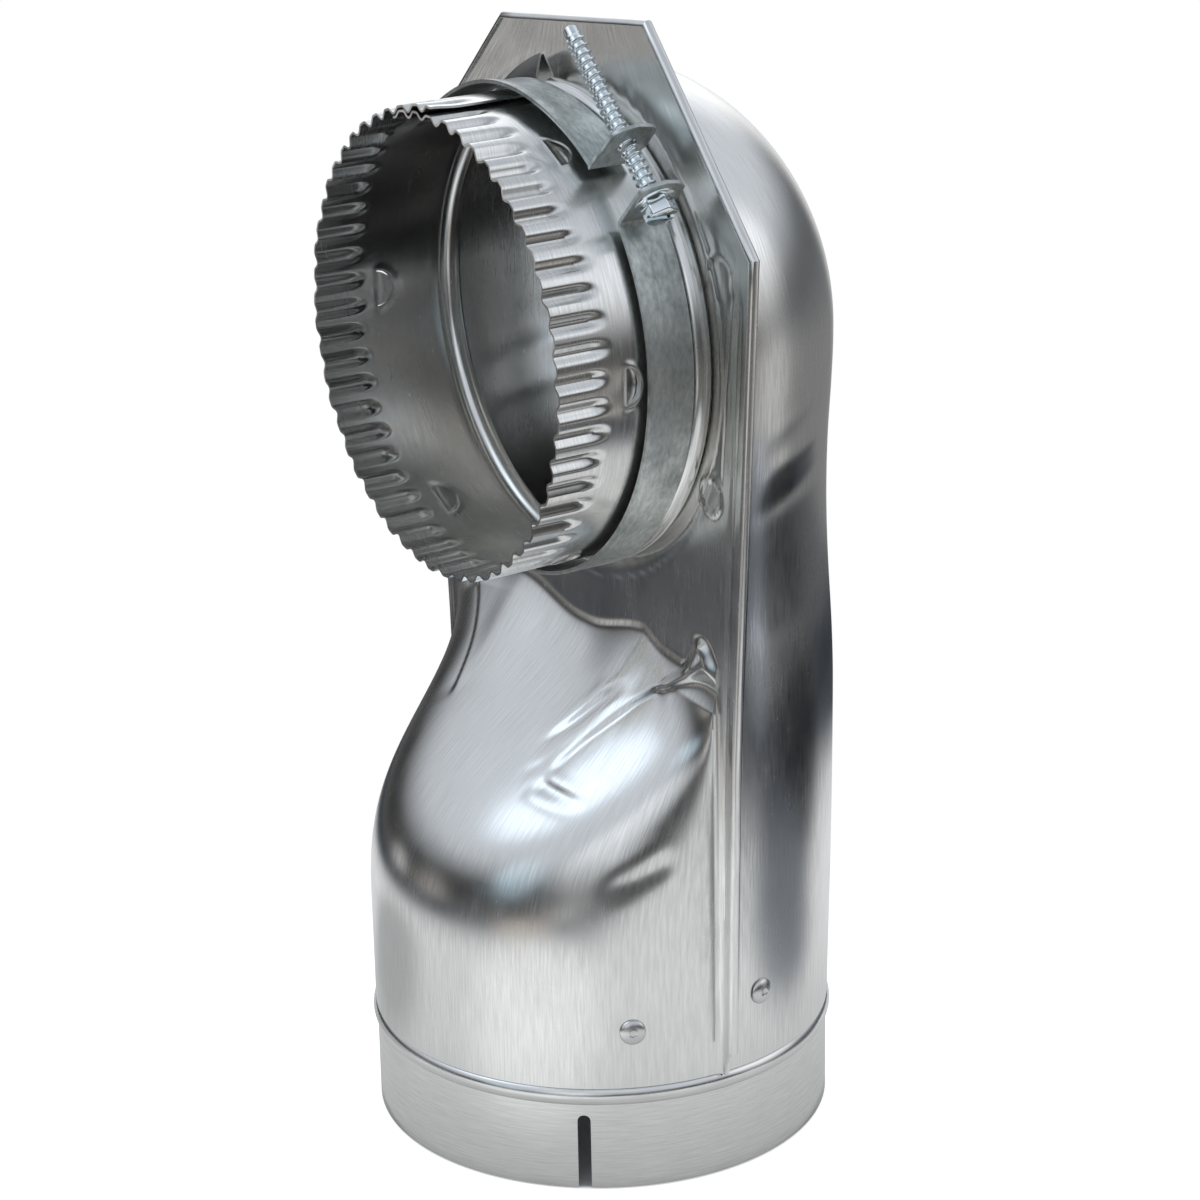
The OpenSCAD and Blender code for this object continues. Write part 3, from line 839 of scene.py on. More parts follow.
        # the horn: the spare sheet of the corner gathers into a lip that opens towards the seam
        (root_x, root_z), (mouth_x, mouth_z) = self.horn
        run = math.dist(*self.horn)
        dx, dz = (mouth_x - root_x) / run, (mouth_z - root_z) / run
        along = ((ax - root_x) * dx + (z - root_z) * dz) / run
        place = np.clip(along, 0.0, 1.1)
        side = (z - root_z) * dx - (ax - root_x) * dz - 1.2 * place**3
        wide = 0.8 + 1.6 * place + 3.2 * place**4
        lip = np.exp(-np.abs(side / wide) ** 2.2) - 0.3 * bell(side, 0.4 * wide) * smooth(place, 0.4, 0.9)
        shown = on_right * smooth(along, 0.0, 0.2) * smooth(along, 1.13, 0.93)
        height += shown * (0.4 + 1.9 * place) * lip
        return height * smooth(self.window_half - ax, 0.0, 1.4) * smooth(self.window_top - z, 0.0, 3.0)

    def plate_marks(self, x: Points, z: Points) -> Points:
        """Height of the pressed marks and the land round the outlet's bead, on the flat plate.

        Args:
            x: Sideways place.
            z: Height.

        Returns:
            Height in millimetres, outwards.
        """
        ax = np.abs(x)
        land = 0.35 * bell(np.hypot(x, z - self.outlet_z) - self.land_r, 0.9)
        # the high mark is an arch with long legs, and the low one an oval
        mark_x, mark_z = self.high_mark
        arch = np.hypot(ax - mark_x, np.maximum(z - mark_z, 0.0))
        high = 0.42 * bell(arch - 4.4, 0.55) * smooth(z, 201.6, 203.6)
        mark_x, mark_z = self.low_mark
        oval = np.hypot((ax - mark_x) / 0.85, (z - mark_z) / 0.95)
        low = 0.42 * bell(oval - 4.2, 0.55)
        # a wavy ridge joins them
        seam = 55.0 + 4.2 * smooth(z, 160.0, 208.0) + 0.35 * np.sin(z / 5.2)
        ridge = 0.3 * bell(ax - seam, 0.5) * smooth(z, 158.0, 166.0) * smooth(z, 204.0, 198.0)
        # the sheet sinks a little along the hem
        sunk = 0.3 * bell(ax - (self.edge_half(z) - 4.2), 0.7) * smooth(z, 28.0, 60.0) * smooth(205.0 - z, 0.0, 8.0)
        return land + high + low + ridge - sunk + 0.1 * ripple(x, z, 0.4)

    def front_form(self, columns: int) -> tuple[Form, int]:
        """Form of the front shell from edge to edge.

        Args:
            columns: Number of faces across.

        Returns:
            The form, and the number of faces up that it is meant for.
        """
        # faces across each flat strip and round each bend
        strip, bend = 14, 6
        wall = columns - 2 * (strip + bend)
        wall_y = self.plate_y - self.fillet
        start = math.asin(-wall_y / self.shell_r)
        half_wall = self.shell_r * math.cos(start)
        corners = self.loop(self.hem_fold)
        mid = len(corners) // 2
        wide_right, high_right, high_left, wide_left = corners[mid - 2 : mid + 2]
        free_half, slope_low = wide_right
        slope_high = 250.0
        # heights between which the rows are shared out: most go to the creases
        knots = [self.shell_low, 48.0, 70.0, 84.0, 126.0, 151.0, 163.0, 200.0, slope_low, slope_high]
        counts = [0, 10, 18, 22, 118, 14, 18, 12, 14, 18]
        share = list(np.cumsum(counts) / sum(counts))
        # most columns go to the sides, where the creases are
        side_turn = math.radians(20.0)
        turns = [start, side_turn, math.radians(70.0), math.radians(110.0), math.pi - side_turn, math.pi - start]
        turn_share = [0.0, 0.08, 0.32, 0.49, 0.91, 1.0]

        def form(u: Points, v: Points) -> Points:
            """Places on the front shell.

            Args:
                u: Share of the way across, from the left.
                v: Share of the way up.

            Returns:
                Places in millimetres.
            """
            z = np.interp(v, share, knots)
            k = u * columns
            side = np.where(k < columns / 2, -1.0, 1.0)
            n = np.minimum(k, columns - k)
            on_strip, before_wall = n <= strip, n < strip + bend
            # the flat strip beside the bulge
            foot_edge = np.interp(z, [24.0, 28.0, 30.6], [53.95, 54.1, 55.6])
            plate_edge = self.edge_half(np.minimum(z, slope_low)) - self.hem_fold
            free = np.minimum(np.where(z < self.outline[1][1], foot_edge, plate_edge), free_half)
            x_strip = between(free, self.window_half, np.clip(n / strip, 0.0, 1.0))
            # the bend from the strip into the bulge
            a = np.clip((n - strip) / bend, 0.0, 1.0) * math.pi / 2
            r_bend = np.minimum(self.fillet, self.fall(np.full_like(z, half_wall), z) / 2)
            x_bend = self.window_half - (self.window_half - half_wall) * np.sin(a)
            y_bend = self.plate_y - r_bend * (1 - np.cos(a))
            # the bulge
            t = np.interp(np.clip((k - strip - bend) / wall, 0.0, 1.0), turn_share, turns)
            x_wall = -self.shell_r * np.cos(t)
            out = np.clip((self.shell_r * np.sin(t) + wall_y) / (self.shell_r + wall_y), 0.0, 1.0)
            depth = self.fall(x_wall, z)
            r = np.minimum(self.fillet, depth / 2)
            x = np.where(on_strip, side * x_strip, np.where(before_wall, side * x_bend, x_wall))
            y_wall = self.plate_y - r - (depth - r) * out
            y = np.where(on_strip, self.plate_y, np.where(before_wall, y_bend, y_wall))
            # above the sides each row tilts towards the leaning top edge
            tilt = np.clip((z - slope_low) / (slope_high - slope_low), 0.0, 1.0)
            across = np.clip((x + free_half) / (2.0 * free_half), 0.0, 1.0)
            left, right = (
                [between(first, last, tilt) for first, last in zip(wide, high)]
                for wide, high in ((wide_left, high_left), (wide_right, high_right))
            )
            x = np.where(tilt > 0, between(left[0], right[0], across), x)
            z_row, z = z, np.where(tilt > 0, between(left[1], right[1], across), z)
            flat = smooth(self.fall(np.clip(np.abs(x), 0.0, half_wall), z_row), 6.0, 0.0)
            on_plate = np.where(on_strip, 1.0, flat)
            y = y - self.plate_marks(x, z) * on_plate
            y = y - self.creases(x, z) * np.where(before_wall, 0.0, 1.0)
            y = y - 0.12 * ripple(x * 1.2, z, 2.2) * (1 - on_plate) * smooth(z, 30.0, 60.0)
            # a long dent on the right of the belly
            dent = self.belly_dent.height(self.shell_r * (math.pi - t), z) * np.where(~before_wall & (x > 0), 1.0, 0.0)
            return np.stack([x - dent * np.cos(t), y - dent * np.sin(t), z], axis=1)

        return form, sum(counts)

    def front_shell(self, finish: bpy.types.Material) -> None:
        """Model the front shell with its plate and the hem that folds round the rear flange.

        Args:
            finish: Its material.
        """
        columns = 214
        form, rows = self.front_form(columns)
        shell = draped("front_shell_sheet", columns, rows, form)
        give_wall(shell, self.sheet)
        bore = round_bar(self.hole_r, 8.0, axis_place((0.0, self.plate_y, self.outlet_z), (0.0, -1.0, 0.0)), 192)
        cut_away(shell, [bore])
        shell = joined("front_shell_sheet", [shell, self.hem()])
        hand_over(shell, Body.HOUSING, finish, angle=34.0)
        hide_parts("front_shell")

    def hem(self) -> bpy.types.Object:
        """The edge of the plate, folded back round the flange behind it.

        Returns:
            The hem.
        """
        # the line of the fold, with the outward way at each point: at a corner it is the two edges' mitre
        line: list[Points] = []
        out: list[Points] = []
        corners = np.array(self.loop(0.0))
        edges = np.diff(corners, axis=0)
        normals = np.stack([edges[:, 1], -edges[:, 0]], axis=1) / np.linalg.norm(edges, axis=1)[:, None]
        for k, count in enumerate(self.hem_counts):
            mitre = (normals[k - 1] + normals[k]) / (1.0 + normals[k - 1] @ normals[k]) if k > 0 else normals[k]
            line += [corners[k] + edges[k] * m / count for m in range(count)]
            out += [mitre] + [normals[k]] * (count - 1)
        line_points = np.array(line + [corners[-1]])
        ways = np.array(out + [normals[-1]])
        fold, lip = self.hem_fold, self.hem_lip
        section = [(-fold - 0.02, 0.0)]
        section += [(-fold + fold * math.sin(a), fold - fold * math.cos(a)) for a in np.linspace(0.0, math.pi, 11)]
        section += [(-lip * 0.6, 2 * fold), (-lip, 2 * fold)]
        profile = np.array(section)
        count = len(line_points) - 1
        rows = len(section) - 1

        def form(u: Points, v: Points) -> Points:
            """Places on the folded edge.

            Args:
                u: Share of the way round the plate, from the lower right.
                v: Share of the way round the fold, from the front.

            Returns:
                Places in millimetres.
            """
            i = np.rint(u * count).astype(int)
            inset, back = profile[np.rint(v * rows).astype(int)].T
            x, z = (line_points[i] + ways[i] * inset[:, None]).T
            # beside the channel the lip is cut short, so that it clears the rear shell's bend
            by_channel = (inset < -1.6) & (z < 150.0)
            x = np.where(by_channel, np.sign(x) * np.maximum(np.abs(x), self.hem_clear_half), x)
            return np.stack([x, self.plate_y + back, z], axis=1)

        hem = draped("plate_hem", count, rows, form, turned=True)
        give_wall(hem, self.sheet)
        return hem

    def rear_depth(self, z: Points) -> Points:
        """Depth of the rear channel behind the flange's plane at each height.

        Args:
            z: Heights.

        Returns:
            Depths in millimetres.
        """
        belly_z, waist_z = self.outlet_z - self.belly_below, self.outlet_z - self.waist_below
        first = self.shell_r + self.fillet
        rise = np.clip((z - self.shell_low) / (belly_z - self.shell_low), 0.0, 1.0)
        low = first + (self.belly_depth - first) * np.sin(rise * math.pi / 2)
        mid = self.belly_depth + (self.waist_depth - self.belly_depth) * smooth(z, belly_z, waist_z)
        high = self.waist_depth + (self.dome_depth - self.waist_depth) * smooth(z, waist_z, self.outlet_z)
        return np.where(z < belly_z, low, np.where(z < waist_z, mid, high))

    def rear_half(self, z: Points) -> Points:
        """Half width of the rear channel at each height.

        Args:
            z: Heights.

        Returns:
            Half widths in millimetres.
        """
        return self.shell_r + (self.dome_r - self.shell_r) * smooth(z, self.outlet_z - 62.0, self.outlet_z - 2.0)

    def flange_reach(self, turn: Points, side: Points) -> Points:
        """Distance from the outlet's axis to the flange's edge, over the dome.

        Args:
            turn: Angle above the horizontal.
            side: 1 on the right and -1 on the left.

        Returns:
            Distance in millimetres.
        """
        corners = self.loop(self.sheet + self.flange_gap)
        reach = np.full(turn.shape, FAR)
        dx, dz = side * np.cos(turn), np.sin(turn)
        for (ax, az), (bx, bz) in zip(corners, corners[1:]):
            ex, ez = bx - ax, bz - az
            det = dx * ez - dz * ex
            safe = np.where(np.abs(det) > 1e-9, det, 1e-9)
            t = (ax * ez - (az - self.outlet_z) * ex) / safe
            s = (ax * dz - (az - self.outlet_z) * dx) / safe
            hit = (t > 0) & (s > -0.001) & (s < 1.001)
            reach = np.minimum(reach, np.where(hit, t, FAR))
        return reach

    def rear_form(self, columns: int, rows: int) -> Form:
        """Form of the rear shell from flange to flange.

        Args:
            columns: Number of faces round.
            rows: Number of faces up.

        Returns:
            The form.
        """
        # faces across each flange and round each bend, and rows up the straight part below the dome
        strip, bend = 3, 6
        wall = columns - 2 * (strip + bend)
        straight = int(rows * 0.62)

        def form(u: Points, v: Points) -> Points:
            """Places on the rear shell.

            Args:
                u: Share of the way round, from the right.
                v: Share of the way up and over the dome.

            Returns:
                Places in millimetres.
            """
            j = v * rows
            k = u * columns
            side = np.where(k < columns / 2, 1.0, -1.0)
            n = np.minimum(k, columns - k)
            z0 = self.shell_low + (self.outlet_z - self.shell_low) * np.clip(j / straight, 0.0, 1.0)
            turn = np.clip((j - straight) / (rows - straight), 0.0, 1.0) * math.radians(90.0)
            half = np.where(turn > 0, self.dome_r * np.cos(turn), self.rear_half(z0))
            z_axis = z0 + np.where(turn > 0, self.dome_r * np.sin(turn), 0.0)
            depth = self.rear_depth(z0)
            edge = n < strip + bend
            # the flange and its bend
            bend_start = self.fillet
            reach_low = self.edge_half(z0) - self.sheet - self.flange_gap - half
            reach_dome = self.flange_reach(turn, side) - self.dome_r
            reach = np.maximum(np.where(turn > 0, reach_dome, reach_low), bend_start + 0.05)
            a = np.clip((n - strip) / bend, 0.0, 1.0) * math.pi / 2
            off_strip = between(reach, bend_start, np.clip(n / strip, 0.0, 1.0))
            off = np.where(n <= strip, off_strip, bend_start * (1 - np.sin(a)))
            y_edge = self.flange_y + np.where(n <= strip, 0.0, self.fillet * (1 - np.cos(a)))
            # the channel and the dome
            t = np.clip((k - strip - bend) / wall, 0.0, 1.0) * math.pi
            lift = np.where(turn > 0, np.cos(turn), 1.0)
            x = np.where(edge, side * (half + np.cos(turn) * off), half * np.cos(t))
            y = np.where(edge, y_edge, self.flange_y + self.fillet + lift * (depth - self.fillet) * np.sin(t))
            z = np.where(edge, z_axis + np.sin(turn) * off, z_axis)
            # stamping marks at the waist, and a gentle unevenness
            angle = np.degrees(t)
            near = np.minimum(angle, 180.0 - angle)
            marks = 0.26 * bell(z - 158.0 - near * 0.25, 3.0) * bell(near - 22.0, 16.0)
            marks -= 0.2 * bell(z - 151.0 - near * 0.2, 2.6) * bell(near - 20.0, 14.0)
            marks += 0.12 * bell(z - 166.0 - near * 0.3, 2.2) * bell(near - 26.0, 12.0)
            marks += 0.09 * ripple(x * 1.1, z * 0.9, 5.1)
            push = np.where(edge, 0.0, marks * smooth(near, 3.0, 12.0) * smooth(z, 26.0, 50.0) * lift)
            return np.stack([x + push * np.cos(t), y + push * np.sin(t), z], axis=1)

        return form

    def rear_shell(self, finish: bpy.types.Material) -> None:
        """Model the rear shell with its dome and seam flange.

        Args:
            finish: Its material.
        """
        columns, rows = 132, 210
        shell = draped("rear_shell_sheet", columns, rows, self.rear_form(columns, rows))
        close_round(shell)
        give_wall(shell, self.sheet)
        hand_over(shell, Body.HOUSING, finish, angle=34.0)
        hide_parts("rear_shell")

    def base_collar(self, finish: bpy.types.Material) -> None:
        """Model the inlet collar: plain part with its slot, rolled bead, and sleeve inside the shells.

        Args:
            finish: Its material.
        """
        profile = [(self.inlet_r - 0.1, 0.0), (self.inlet_r, 0.12)]
        # the rows stand closest in the round top of the slot
        slot_rows = (4.0, 8.0, 12.0, 15.0, 16.45, 16.9, 17.3, 17.6, 17.8, self.slot_top, 19.0)
        profile += [(self.inlet_r, z) for z in slot_rows]
        profile += bead_arc(self.inlet_r, self.bead_low, self.bead_high, self.bead_out, 13)
        sleeve_r = self.shell_r - self.sheet - 0.15
        profile += [(sleeve_r, z) for z in (self.bead_high + 0.05, 30.0, 38.0, self.bead_high + self.sleeve)]
        # the strip's two ends stand apart at the slot, whose top is round
        above = np.clip(np.array(profile)[:, 1] - self.slot_top + self.slot_half, 0.0, self.slot_half)
        gaps = np.sqrt(self.slot_half**2 - above**2) / self.inlet_r
        collar = lathe("inlet_collar_sheet", profile, Matrix(), 288, math.radians(self.slot_angle), gaps)
        give_wall(collar, self.sheet)
        hand_over(collar, Body.HOUSING, finish)
        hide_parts("base_collar")

    def rivet_heads(self, finish: bpy.types.Material) -> None:
        """Model the domed blind rivets.

        Args:
            finish: Their material.
        """
        seat = self.shell_r + 0.02
        edge = seat + 0.12
        wide, high = self.rivet_head
        profile = [(0.0, 47.9), (1.5, 47.9), (2.3, 48.2), (2.3, 49.6), (1.6, 50.4), (1.6, seat - 0.02), (2.75, seat)]
        profile += [(wide, edge)]
        profile += [(wide * math.cos(a), edge + high * math.sin(a)) for a in np.linspace(0.25, 1.18, 7)]
        # the shallow dimple that the pulled pin leaves
        profile += [(r, seat + rise) for r, rise in ((0.95, 1.17), (0.86, 1.1), (0.7, 1.04), (0.3, 1.02), (0.0, 1.02))]
        made = []
        for angle, z in self.rivets:
            a = math.radians(angle)
            made.append(lathe("rivet", profile, axis_place((0.0, 0.0, z), (math.cos(a), math.sin(a), 0.0)), 40))
        heads = joined("blind_rivets", made)
        hand_over(heads, Body.HOUSING, finish, angle=35.0)
        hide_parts("rivets")


@dataclass
class OutletCollar:
    """The crimped collar that turns in the plate: one strip rolled round, with a lap seam."""

    r: float = 50.8
    sheet: float = 0.5
    plate_y: float = -2.6
    axis_z: float = 184.6
    mouth: float = 37.1
    crimp_start: float = 25.6
    crimp_depth: float = 1.35
    crimps: int = 54
    bead: tuple[float, float, float] = (0.3, 5.5, 2.1)
    lap: tuple[float, float] = (86.0, 104.0)
    torn_high: float = 5.2
    stop_s: float = 21.3
    stop_r: float = 4.1
    stops: tuple[float, ...] = (0.0, 60.0, 120.0, 180.0, 240.0, 300.0)

    def place(self, radius: Points, angle: Points, s: Points) -> Points:
        """Turn polar places about the outlet's axis into the frame.

        Args:
            radius: Distance from the axis.
            angle: Angle from +X towards +Z, in radians.
            s: Distance in front of the plate.

        Returns:
            Places in millimetres.
        """
        return np.stack([radius * np.cos(angle), self.plate_y - s, self.axis_z + radius * np.sin(angle)], axis=1)

    def crimp(self, degrees: Points, s: Points) -> Points:
        """Depth of the crimps.

        Args:
            degrees: Angle round the axis.
            s: Distance in front of the plate.

        Returns:
            Depth in millimetres.
        """
        pitch = 360.0 / self.crimps
        k = np.floor(degrees / pitch)
        wave = np.abs((degrees / pitch - k) * 2.0 - 1.0)
        uneven = np.sin(k * 12.9898) * 0.5 + np.sin(k * 4.1) * 0.5
        valley = smooth(0.72 - wave, 0.0, 0.7)
        start = self.crimp_start + 0.9 * uneven + 2.0 * wave**2
        ramp = smooth(s, start - 1.4, start + 3.6)
        return (self.crimp_depth + 0.35 * uneven) * valley * ramp

    def wall_form(self, rows: Sequence[tuple[float, float]]) -> Form:
        """Form of the rolled strip.

        Args:
            rows: Radius and distance in front of the plate along its section.

        Returns:
            The form.
        """
        radii = np.array([p[0] for p in rows])
        places = np.array([p[1] for p in rows])
        last = len(rows) - 1
        lap_start, lap_end = self.lap

        def form(u: Points, v: Points) -> Points:
            """Places on the rolled strip.

            Args:
                u: Share of the way round, from the lap's outer end.
                v: Share of the way to the mouth.

            Returns:
                Places in millimetres.
            """
            j = np.rint(v * last).astype(int)
            r, s = radii[j], places[j]
            # in front of the bead the strip laps over its own end, and through the bead it stays open as a slit
            overlap = smooth(s, 5.6, 6.6)
            first = lap_start + 10.4 * (1 - overlap)
            final = 360.0 + lap_start + (lap_end - lap_start) * overlap + 7.4 * (1 - overlap)
            angle = between(first, final, u)
            raised = 0.85 * smooth(angle, lap_start + 26.0, lap_start)
            raised = raised + 0.5 * smooth(s, 30.0, self.mouth) * smooth(angle, lap_start + 14.0, lap_start)
            sunk = 0.62 * smooth(angle, 360.0 + lap_start - 9.0, 360.0 + lap_start + 2.0)
            # the torn corner of the bead beside the slit stands up to a point
            torn = np.clip((119.0 - angle) / 22.6, 0.0, 1.0) * (angle < 120.0)
            torn = self.torn_high * torn * np.clip(1.25 - np.abs(s - 3.2) / 2.3, 0.0, 1.0)
            # each pipe stop leaves a rim round its cut and a dish before it
            ahead = s - self.stop_s
            stops = np.zeros_like(s)
            for centre in self.stops:
                across = np.radians((angle - centre + 180.0) % 360.0 - 180.0) * self.r
                stops += 0.25 * bell(np.hypot(across, ahead) - self.stop_r - 0.5, 0.7) * smooth(1.0 - ahead, 0.0, 2.0)
                stops -= 0.35 * bell(np.hypot(across, ahead - 1.0), 3.6) * smooth(ahead, -1.0, 1.0)
            uneven = 0.12 * ripple(angle * 0.9, s * 3.0, 1.7) * smooth(s, 6.0, 12.0)
            radius = r - self.crimp(angle, s) + (raised - sunk) * overlap + torn + stops + uneven
            edge = 0.14 * np.sin(angle * 0.31 + 1.0) * smooth(s, 30.0, self.mouth)
            return self.place(radius, np.radians(angle), s + edge)

        return form

    def section(self) -> list[tuple[float, float]]:
        """Section of the collar from its turned-out end to the mouth.

        Returns:
            Radius and distance in front of the plate of its points.
        """
        low, high, stand = self.bead
        flare = self.r + stand + 0.25
        rows = [(flare, -0.85), (self.r + 1.2, -0.84), (self.r + 0.35, -0.72), (self.r, -0.3), (self.r, 0.1)]
        rows += bead_arc(self.r, low, high, stand, 14)
        # the rows stand closest at the pipe stops and where the crimps start
        for first, last, count in ((high + 0.5, 16.6, 9), (17.0, 24.4, 15), (24.9, 30.0, 12), (31.2, self.mouth, 5)):
            rows += [(self.r, s) for s in np.linspace(first, last, count)]
        return rows

    def half_moon(self, angle: float, radius: float, low: float, high: float, height: float) -> bpy.types.Object:
        """A half-moon plug, whose round side faces the plate.

        Args:
            angle: Angle round the axis in degrees.
            radius: Radius of the half-moon.
            low: Distance of its inner face from the axis.
            high: Distance of its outer face.
            height: Where its straight side is, in front of the plate.

        Returns:
            The plug.
        """
        a = math.radians(angle)
        way = Vector((math.cos(a), 0.0, math.sin(a)))
        middle = way * ((low + high) / 2) + Vector((0.0, self.plate_y - height, self.axis_z))
        forward = Vector((0.0, -1.0, 0.0))
        turned = Matrix((forward.cross(way), forward, way)).transposed().to_4x4()
        turned.translation = middle
        plug = round_bar(radius, high - low, turned, 64)
        make_active(plug)
        bpy.ops.object.mode_set(mode="EDIT")
        bpy.ops.mesh.select_all(action="SELECT")
        bpy.ops.mesh.bisect(plane_co=tuple(middle * MM), plane_no=(0.0, -1.0, 0.0), use_fill=True, clear_outer=True)
        bpy.ops.object.mode_set(mode="OBJECT")
        return plug

    def build(self, finish: bpy.types.Material) -> None:
        """Model the collar and its pipe stops.

        Args:
            finish: Its material.
        """
        rows = self.section()
        wall = draped("outlet_collar_sheet", self.crimps * 12, len(rows) - 1, self.wall_form(rows))
        give_wall(wall, self.sheet)
        cut_away(wall, [self.half_moon(a, self.stop_r, self.r - 4.0, self.r + 3.0, self.stop_s) for a in self.stops])
        tabs = [self.stop_tab(a) for a in self.stops]
        collar = joined("outlet_collar_sheet", [wall] + tabs)
        hand_over(collar, Body.OUTLET, finish, angle=30.0)
        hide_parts("outlet_collar")

    def stop_tab(self, angle: float) -> bpy.types.Object:
        """The half-moon tab of one stop, bent inwards at its straight side.

        Args:
            angle: Angle round the axis in degrees.

        Returns:
            The tab.
        """
        tab_r = self.stop_r - 0.12

        def form(u: Points, v: Points) -> Points:
            """Places on the tab.

            Args:
                u: Share of the way across.
                v: Share of the way to the straight side.

            Returns:
                Places in millimetres.
            """
            down = (1.0 - v) * tab_r
            across = (2.0 * u - 1.0) * np.sqrt(np.maximum(tab_r**2 - down**2, 0.0))
            depth = 0.04 * down + 0.2 * down * smooth(down, 0.0, 1.6)
            radius = self.r - depth - 0.12 * bell(across, 2.4) * (down / self.stop_r)
            return self.place(radius, math.radians(angle) + across / self.r, self.stop_s + 0.25 - down)

        tab = draped("stop_tab", 12, 10, form)
        give_wall(tab, self.sheet)
        return tab


@dataclass
class StrapClamp:
    """The strap round the outlet collar, its two ears and the screw through them."""

    plate_y: float = -2.6
    axis_z: float = 184.6
    inner: float = 51.6
    strap: float = 0.8
    low: float = 6.0
    width: float = 10.9
    gap_angle: float = 45.0
    ear_low: float = 6.5
    ear_high: float = 5.0
    ear_end: float = 66.0
    ear_round: float = 8.0
    bend_low: float = 2.0
    bend_high: float = 0.6
    screw_rad: float = 59.6
    screw_len: float = 43.0
    thread_r: float = 2.1
    core_r: float = 1.5
    pitch: float = 1.8
    # hexagon head across its flats and its height, and the slot across it
    head_flats: float = 6.35
    head_high: float = 3.6
    slot: tuple[float, float, float] = (9.0, 1.15, 2.4)
    edge_round: float = 0.12

    def to_frame(self, radial: Points, across: Points, s: Points) -> Points:
        """Turn places beside the clamp's gap into the frame.

        Args:
            radial: Distance out from the axis through the gap's middle.
            across: Distance across the gap, positive towards the upper ear.
            s: Distance in front of the plate.

        Returns:
            Places in millimetres.
        """
        c, n = math.cos(math.radians(self.gap_angle)), math.sin(math.radians(self.gap_angle))
        return np.stack([radial * c - across * n, self.plate_y - s, self.axis_z + radial * n + across * c], axis=-1)

    def strap_line(self) -> Points:
        """Outer line of the strap from the lower ear's end round to the upper ear's end.

        Returns:
            Radial and across places of its points, with the outer side on the left.
        """
        outer = self.inner + self.strap

        def bend(face: float, radius: float) -> tuple[float, Points, float, float]:
            """Lay one bend from the ring into an ear, for a gap below it.

            Args:
                face: Distance of the ear's inner face from the middle of the gap.
                radius: Inner radius of the bend.

            Returns:
                Angle at which it leaves the ring, its points, and where the ear's outer face starts.
            """
            height = face + self.strap + radius
            turn = math.asin(height / (outer + radius))
            centre = np.array([(outer + radius) * math.cos(turn), height])
            angles = np.linspace(math.pi + turn, 1.5 * math.pi, 9)
            arc = np.stack([centre[0] + radius * np.cos(angles), centre[1] + radius * np.sin(angles)], axis=1)
            return turn, arc, centre[0], face + self.strap

        turn_h, arc_h, start_h, face_h = bend(self.ear_high, self.bend_high)
        turn_l, arc_l, start_l, face_l = bend(self.ear_low, self.bend_low)
        ear_h, ear_l = (
            np.stack([np.linspace(start, self.ear_end, 16)[1:], np.full(15, face)], axis=1)
            for start, face in ((start_h, face_h), (start_l, -face_l))
        )
        arc_l = arc_l * np.array([1.0, -1.0])
        ring_a = np.linspace(turn_h, 2 * math.pi - turn_l, 150)[1:-1]
        ring = np.stack([outer * np.cos(ring_a), outer * np.sin(ring_a)], axis=1)
        line = np.concatenate([ear_h[::-1], arc_h[::-1], ring, arc_l, ear_l])
        return line[::-1]

    def strap_piece(self, finish: bpy.types.Material) -> None:
        """Model the strap.

        Args:
            finish: Its material.
        """
        line = self.strap_line()
        count = len(line) - 1
        rows = 10
        radial = np.hypot(line[:, 0], line[:, 1])
        around = np.degrees(np.arctan2(line[:, 1], line[:, 0])) % 360.0
        mid = self.low + self.width / 2

        def form(u: Points, v: Points) -> Points:
            """Places on the strap's outer face.

            Args:
                u: Share of the way from the lower ear round to the upper ear.
                v: Share of the way across, from the plate's side.

            Returns:
                Places in millimetres.
            """
            i = np.rint(u * count).astype(int)
            # the ears end round
            past = np.clip(line[i, 0] - (self.ear_end - self.ear_round), 0.0, self.ear_round)
            half = np.clip(np.sqrt(self.ear_round**2 - past**2), 0.4, self.width / 2)
            on_ring = radial[i] < self.inner + self.strap + 0.1
            # beside the upper ear the strap stands a little off, and forward
            forward = 1.8 * bell(around[i] - 34.0, 26.0) * (radial[i] < self.inner + 6.0)
            lift = 1.5 * smooth(v, 0.3, 1.0) * bell(around[i] - 32.0, 30.0)
            scale = 1.0 + on_ring * lift / np.maximum(radial[i], 1.0)
            return self.to_frame(line[i, 0] * scale, line[i, 1] * scale, mid + (v - 0.5) * 2.0 * half + forward)

        strap = draped("clamp_strap_strip", count, rows, form)
        give_wall(strap, self.strap)
        holes = []
        for sign, face, play in ((1.0, self.ear_high, 0.1), (-1.0, self.ear_low, 0.5)):
            spot = self.to_frame(np.array(self.screw_rad), np.array(sign * (face + self.strap / 2)), np.array(mid))
            holes.append(round_bar(self.thread_r + play, 4.0, axis_place(tuple(spot), self.screw_way()), 40))
        cut_away(strap, holes)
        softened = {"width": self.edge_round * MM, "segments": 2}
        finish_modifier(strap, "BEVEL", limit_method="ANGLE", angle_limit=math.radians(50), **softened)
        hand_over(strap, Body.CLAMP, finish, angle=35.0)
        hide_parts("clamp_strap")

    def screw_way(self) -> tuple[float, float, float]:
        """Direction of the screw from its head to its tip."""
        a = math.radians(self.gap_angle)
        return (-math.sin(a), 0.0, math.cos(a))

    def screw(self, finish: bpy.types.Material) -> None:
        """Model the screw: slotted hexagon head on its washer, thread and plain tip.

        Args:
            finish: Its material.
        """
        start = -self.ear_low - self.strap - 0.3
        foot = self.to_frame(np.array(self.screw_rad), np.array(start), np.array(self.low + self.width / 2))
        place = axis_place(tuple(foot), self.screw_way())
        turn = np.array(place.to_3x3())
        origin = np.array(place.translation)
        sides, per_turn = 28, 16
        rows = int((self.screw_len - 2.2) / self.pitch * per_turn)
        tip = self.screw_len - 0.45

